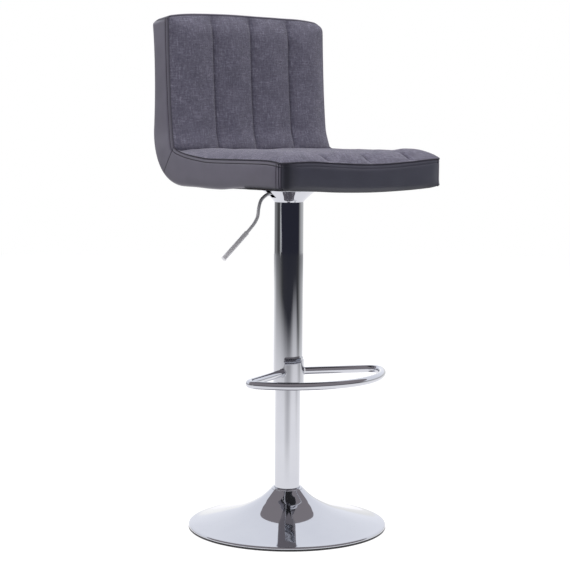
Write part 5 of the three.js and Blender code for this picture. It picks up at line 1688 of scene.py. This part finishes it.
def swell(face, back, held):
    """Blows a closed pad up as cloth, held at its seams; returns how its face moved, with
    the creases along each channel eased out."""
    pad = shell("swelling_pad", face, back, linen)
    mesh = pad.data
    rest = np.array([v.co for v in mesh.vertices])
    group = pad.vertex_groups.new(name="held")
    free = {tuple(np.round(p, 6)) for p in face[~held]}
    order = {tuple(np.round(p, 6)): i for i, p in enumerate(face.reshape(-1, 3))}
    spot = np.full(face.shape[0] * face.shape[1], -1)
    for i, p in enumerate(rest):
        key = tuple(np.round(p, 6))
        if key in order:
            spot[order[key]] = i
        if key not in free:
            group.add([i], 1.0, "REPLACE")
    cloth = pad.modifiers.new("swell", "CLOTH")
    for label, value in {
        "quality": 6, "mass": 0.3, "tension_stiffness": 12, "compression_stiffness": 12,
        "shear_stiffness": 4, "bending_stiffness": 4, "shrink_min": -0.006,
        "vertex_group_mass": "held", "use_pressure": True, "uniform_pressure_force": 4,
    }.items():
        setattr(cloth.settings, label, value)
    cloth.settings.effector_weights.gravity = 0
    cloth.point_cache.frame_start = 1
    cloth.point_cache.frame_end = SWELL_STEPS
    scene = bpy.context.scene
    for step in range(1, SWELL_STEPS + 1):
        scene.frame_set(step)
    shown = pad.evaluated_get(bpy.context.evaluated_depsgraph_get())
    moved = np.array([v.co for v in shown.data.vertices]) - rest
    scene.frame_set(1)
    bpy.data.objects.remove(pad)
    found = np.where(spot[:, None] >= 0, moved[spot], 0)
    length = np.linalg.norm(found, axis=1)[:, None]
    found *= np.minimum(1, SWELL_MOST / np.maximum(length, 1e-9))
    found = found.reshape(face.shape)
    for turn in range(EASINGS_ALONG):
        found[1:-1] += 0.25 * (found[2:] + found[:-2]) - 0.5 * found[1:-1]
        if turn < EASINGS_ACROSS:
            found[:, 1:-1] += 0.25 * (found[:, 2:] + found[:, :-2]) - 0.5 * found[:, 1:-1]
        found[held] = 0
    return found


def stretched(field, rows, cols):
    """Reads a coarse grid at fractional rows and columns, smoothly."""

    def weights(t):
        return np.stack([-0.5 * t + t**2 - 0.5 * t**3, 1 - 2.5 * t**2 + 1.5 * t**3,
                         0.5 * t + 2 * t**2 - 1.5 * t**3, -0.5 * t**2 + 0.5 * t**3], -1)

    def read(values, places):
        first = np.clip(np.floor(places).astype(int), 0, len(values) - 2)
        pick = np.clip(first[:, None] + np.arange(-1, 3), 0, len(values) - 1)
        share = weights(places - first)
        return (values[pick] * share.reshape(*share.shape, *[1] * (values.ndim - 1))).sum(1)

    return read(read(field, rows).swapaxes(0, 1), cols).swapaxes(0, 1)


def quilt_columns():
    """Places across a pad, finer next to each row of quilting."""
    half = np.array([0, 0.0004, 0.0009, 0.0015, 0.0022, 0.003, 0.004, 0.0052, 0.0068, 0.0088,
                     0.0112, 0.014, 0.0172, 0.0206, 0.024, 0.0275, 0.031, 0.0345, 0.038, 0.0415,
                     0.045, 0.0482])
    whole = np.concatenate([half, CHANNEL - half[::-1]])
    return np.concatenate([start + whole for start in CHANNELS[:-1]] + [[CHANNELS[-1]]])


# The mesh that is swollen: squares across each channel, and their size along it.
COARSE_ACROSS = 20
COARSE_SIZE = 0.005
# The thread's pull along a row: its width and depth, and the puckers beside it.
SEWN_WIDTH = 0.0021
SEWN_DEPTH = 0.0012
PUCKER = 0.0105
PUCKER_DEPTH = 0.00035
WADDING_UNEVEN = 0.0007
CLOTH_UNEVEN = 0.00025
# The pad's underside: set in from the edge, over the foam, and tucked down at the rim.
UNDER_SIDE_INSET = 0.0030
UNDER_END_INSET = 0.002
UNDER_LIFT = 0.0002
UNDER_TUCK = 0.0018


def make_pad(name, shape, lay, low, high, seed):
    """One quilted pad: swollen by simulation, then its seams and stitching drawn in."""
    across_all = COARSE_ACROSS * (len(CHANNELS) - 1)
    c0 = np.linspace(CHANNELS[0], CHANNELS[-1], across_all + 1)
    b0 = np.linspace(low, high, int(round((high - low) / COARSE_SIZE)) + 1)
    cc, bb = np.meshgrid(c0, b0)
    x, b, base, height = shape(cc, bb)
    face = lay(x, b, base, height)
    back = lay(x, b, base, np.full_like(height, UNDER_LIFT))
    held = np.zeros(cc.shape, bool)
    held[[0, -1]] = True
    held[:, [0, -1]] = True
    held[:, COARSE_ACROSS:-1:COARSE_ACROSS] = True
    moved = swell(face, back, held)
    c1 = quilt_columns()
    span = high - low
    ends = np.array([0, 0.0004, 0.001, 0.0018, 0.0028, 0.004, 0.0055, 0.0072])
    b1 = low + np.concatenate([ends, np.linspace(0.009, span - 0.009, int(span / 0.0022)),
                               (span - ends)[::-1]])
    cc, bb = np.meshgrid(c1, b1)
    x, b, base, height = shape(cc, bb)
    delta = stretched(moved, (b1 - low) / span * (len(b0) - 1),
                      (c1 - c1[0]) / (4 * CHANNEL) * across_all)
    near = np.abs(cc[..., None] - np.array(CHANNELS[1:-1])).min(-1)
    edge = np.abs(np.abs(cc) - half_width)
    end = np.minimum(bb - low, high - bb)
    deep = unit((height - EDGE_HEIGHT) / 0.008)
    plain = lay(x, b, base, height)
    puckers = np.sin(bb / PUCKER * 2 * math.pi + 2.5 * ripple(plain, 0.03, seed))
    sewn = groove(near, SEWN_WIDTH)
    height = height - SEWN_DEPTH * sewn * deep
    height -= PUCKER_DEPTH * puckers * groove(near - 0.004, 0.004) * deep
    height += WADDING_UNEVEN * ripple(plain, 0.035, seed + 1) * deep
    height += CLOTH_UNEVEN * ripple(plain, 0.009, seed + 2) * deep
    face = lay(x, b, base, height) + delta
    squeeze = 1 - UNDER_SIDE_INSET / half_width
    rim_gap = np.minimum(edge, end)
    inset_b = low + (b - low) * (1 - 2 * UNDER_END_INSET / span) + UNDER_END_INSET
    back = lay(x * squeeze, inset_b, base, UNDER_LIFT - UNDER_TUCK * groove(rim_gap, 0.006))
    # Painted shade, as the mark: along the quilting rows and the edges, and low on the back
    # where it meets the seat.
    fold = np.maximum(0.5 * sewn * deep, 0.9 * groove(edge, 0.0007))
    fold = np.maximum(fold, 0.9 * groove(end, 0.0007))
    if lay is on_back:
        fold = np.maximum(fold, 0.4 * unit(1 - (bb - 0.777) / 0.02))
    axis = 2 if lay is on_seat else 1
    across = np.ones(3)
    across[axis] = 0

    def loop(inwards, downwards):
        mix = inwards * across + downwards * (1 - across)
        return lambda f, k: f + (k - f) * mix

    rim = [loop(0.04, 0.3), loop(0.16, 0.6), loop(0.42, 0.86)]
    weave = np.stack([cc, bb], -1).reshape(-1, 2)
    rows, cols = cc.shape
    border = np.array([[cc[r, k], bb[r, k]] for r, k in round_grid(rows, cols)])
    weave = np.vstack([weave, weave] + [border] * len(rim))
    # The underside is painted fully dark and the rim nearly so, as shade.
    shade = np.concatenate([fold.ravel(), np.ones(fold.size),
                            np.full(len(border) * len(rim), 0.95)])
    piece = shell(name, shape_back(face), shape_back(back), linen, rim, crease=60, weave=weave,
                  marks={"fold": shade})
    facing_out(piece.data)
    return piece


seat_pad = make_pad("seat_quilted_pad", seat_points, on_seat, seat_front, seat_rear, 41)
place_on(seat_pad, "seat_unit", "linen", "seat_panel")
back_pad = make_pad("back_quilted_pad", back_points, on_back, back_foot, SEAM_TOP[1], 47)
place_on(back_pad, "seat_unit", "linen", "back_panel")

# ---- Underside -----------------------------------------------------------------------
# The leather is folded under the board, and a black non-woven dust cover is stapled over
# its edge all round.


def make_dust_cloth():
    finish, g, shader = new_finish("black_dust_cloth", (0.02, 0.02, 0.022), 0.9)
    fibres = spots(g, g.place(), 420, 4.0, 0.7)
    values = {"Vector": g.place(), "Scale": 420.0, "Randomness": 0.1}
    dots = g.node("ShaderNodeTexVoronoi", {}, values)
    vary(g, shader, fibres, ((0.35, (0.012, 0.012, 0.013)), (0.7, (0.045, 0.045, 0.05))),
         fibres, (0.8, 0.98), (dots, 0.0002, 0.6))
    return finish


dust_cloth = make_dust_cloth()
dust_low, dust_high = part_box("dust_cover")
DUST_LEVEL = 0.7070
DUST_SHEET = 0.0006
STAPLE_LEVEL = 0.7064
STAPLE_MARGIN = 0.014
MARGIN_LEVEL = 0.7077
MARGIN_SHEET = 0.0005
MARGIN_END = 0.081


def make_dust_cover():
    x = np.linspace(dust_low.x + 0.008, dust_high.x - 0.008, 70)
    y = np.linspace(dust_low.y + 0.006, dust_high.y + 0.004, 52)
    xx, yy = np.meshgrid(x, y)
    points = np.stack([xx, yy, np.full_like(xx, DUST_LEVEL)], -1)
    points[..., 2] -= 0.0004 * ripple(points, 0.04, 61)
    outer = points.copy()
    outer[..., 2] -= DUST_SHEET
    return shell("dust_cover_cloth", outer, points, dust_cloth)


dust_cover = make_dust_cover()
place_on(dust_cover, "seat_unit", "dust_cloth", "dust_cover")


def row_recipe(name):
    """A recipe for like pieces along a line, at a pitch, and their length and thickness."""
    g = Recipe(name, Pitch="Float", Length="Float", Thickness="Float")
    thick = g.given("Thickness")
    return g, g.node("ShaderNodeCombineXYZ", {}, {0: g.given("Length"), 1: thick, 2: thick})


def end_row(g, piece, smooth, **more):
    """Sets the piece along the line, turned to follow it."""
    line = g.node("GeometryNodeMeshToCurve", {}, {0: g.given("Geometry")})
    values = {"Curve": line, "Length": g.given("Pitch")}
    line = g.node("GeometryNodeResampleCurve", {"mode": "LENGTH"}, values)
    values = {"Vector": g.node("GeometryNodeInputTangent")}
    turn = g.node("FunctionNodeAlignRotationToVector", {"axis": "X"}, values)
    values = {"Points": line, "Instance": piece, "Rotation": turn, **more}
    g.end(g.node("GeometryNodeInstanceOnPoints", {}, values), smooth)
    return g


def staple_recipe():
    g, size = row_recipe("staples")
    return end_row(g, g.node("GeometryNodeMeshCube", {}, {"Size": size}), smooth=False)


left, right = dust_low.x + STAPLE_MARGIN, dust_high.x - STAPLE_MARGIN
near, far = dust_low.y + STAPLE_MARGIN, dust_high.y - 0.006
corners = [(left, near), (right, near), (right, far), (left, far)]
staples = run(staple_recipe(), "dust_cover_staples",
              [(x, y, STAPLE_LEVEL) for x, y in corners], [(0, 1), (1, 2), (2, 3), (3, 0)],
              {"Pitch": 0.032, "Length": 0.010, "Thickness": 0.0008, "Finish": zinc})
place_on(staples, "seat_unit", "zinc_steel")


def make_leather_margin(name, side):
    """The leather turned in under the seat board along one side."""
    start = seat_front + UNDER_FOLD
    y = start + (MARGIN_END - start) * np.linspace(0, 1, 80)
    lip = np.interp(y, underside[:, 0], underside[:, 1])
    lip = np.minimum(lip[:, None] + 0.0002, MARGIN_LEVEL)
    reach = np.array([0, 0.0025, 0.006, 0.011, 0.017, 0.023])
    ease = unit(reach / 0.005)
    grid = np.zeros((len(y), len(reach), 3))
    grid[..., 0] = side * (half_width - EDGE_ROLL + 0.0003 - reach)
    grid[..., 1] = y[:, None]
    grid[..., 2] = lip * (1 - ease) + MARGIN_LEVEL * ease
    return sheet(name, grid, leather, (0, 0, -1), {"fold": np.zeros(grid.shape[:2])},
                 MARGIN_SHEET)


for side, label in SIDES:
    place_on(make_leather_margin(f"leather_margin_{label}", side), "seat_unit", "leather")

# ---- Stitches ------------------------------------------------------------------------
# Heavy bonded thread, near black, in even lock stitches beside the seams of each side
# panel: along its whole upper edge, and down its front corner.


def stitch_recipe():
    g, size = row_recipe("lock_stitches")
    bead = g.node("GeometryNodeMeshUVSphere", {}, {"Segments": 8, "Rings": 5, "Radius": 0.5})
    return end_row(g, bead, smooth=True, Scale=size)


lock_stitches = stitch_recipe()
thread = mottled(
    "bonded_thread", (0.03, 0.028, 0.035), 0.55, (1500, 1.0),
    ((0.3, (0.02, 0.019, 0.024)), (0.7, (0.05, 0.047, 0.056))), (0.45, 0.7), (0.0001, 0.6))
STITCH = {"Pitch": 0.0046, "Length": 0.0038, "Thickness": 0.0007, "Finish": thread}


def stitch(name, line):
    edges = [(i, i + 1) for i in range(len(line) - 1)]
    place_on(run(lock_stitches, name, shape_back(line), edges, STITCH), "seat_unit", "leather")


corner_line = seat_front + CORNER_STITCH
for (side, label), seam in zip(SIDES, (right_seam, left_seam)):
    foot = np.interp(corner_line, underside[:, 0], underside[:, 1]) + 0.009
    top = np.interp(corner_line, seam[:, 0], seam[:, 1]) - 0.004
    stitch(f"corner_topstitch_{label}", [
        (side * (half_width - 0.0001), corner_line, z) for z in np.linspace(top, foot, 12)])
    whole = np.vstack([seam[:-1], back_seam[1:]])
    share = unit((np.arange(len(whole)) - len(seam) + 8) / 14)
    gap = STITCH_GAP + (STITCH_GAP_BACK - STITCH_GAP) * share
    row = to_right(whole, gap[:, None])
    row = row[row[:, 0] > corner_line - 0.001]
    depth = np.full(len(row), side * (half_width + PUFF * 0.45 - 0.0007))
    stitch(f"side_topstitch_{label}", np.column_stack([depth, row]))
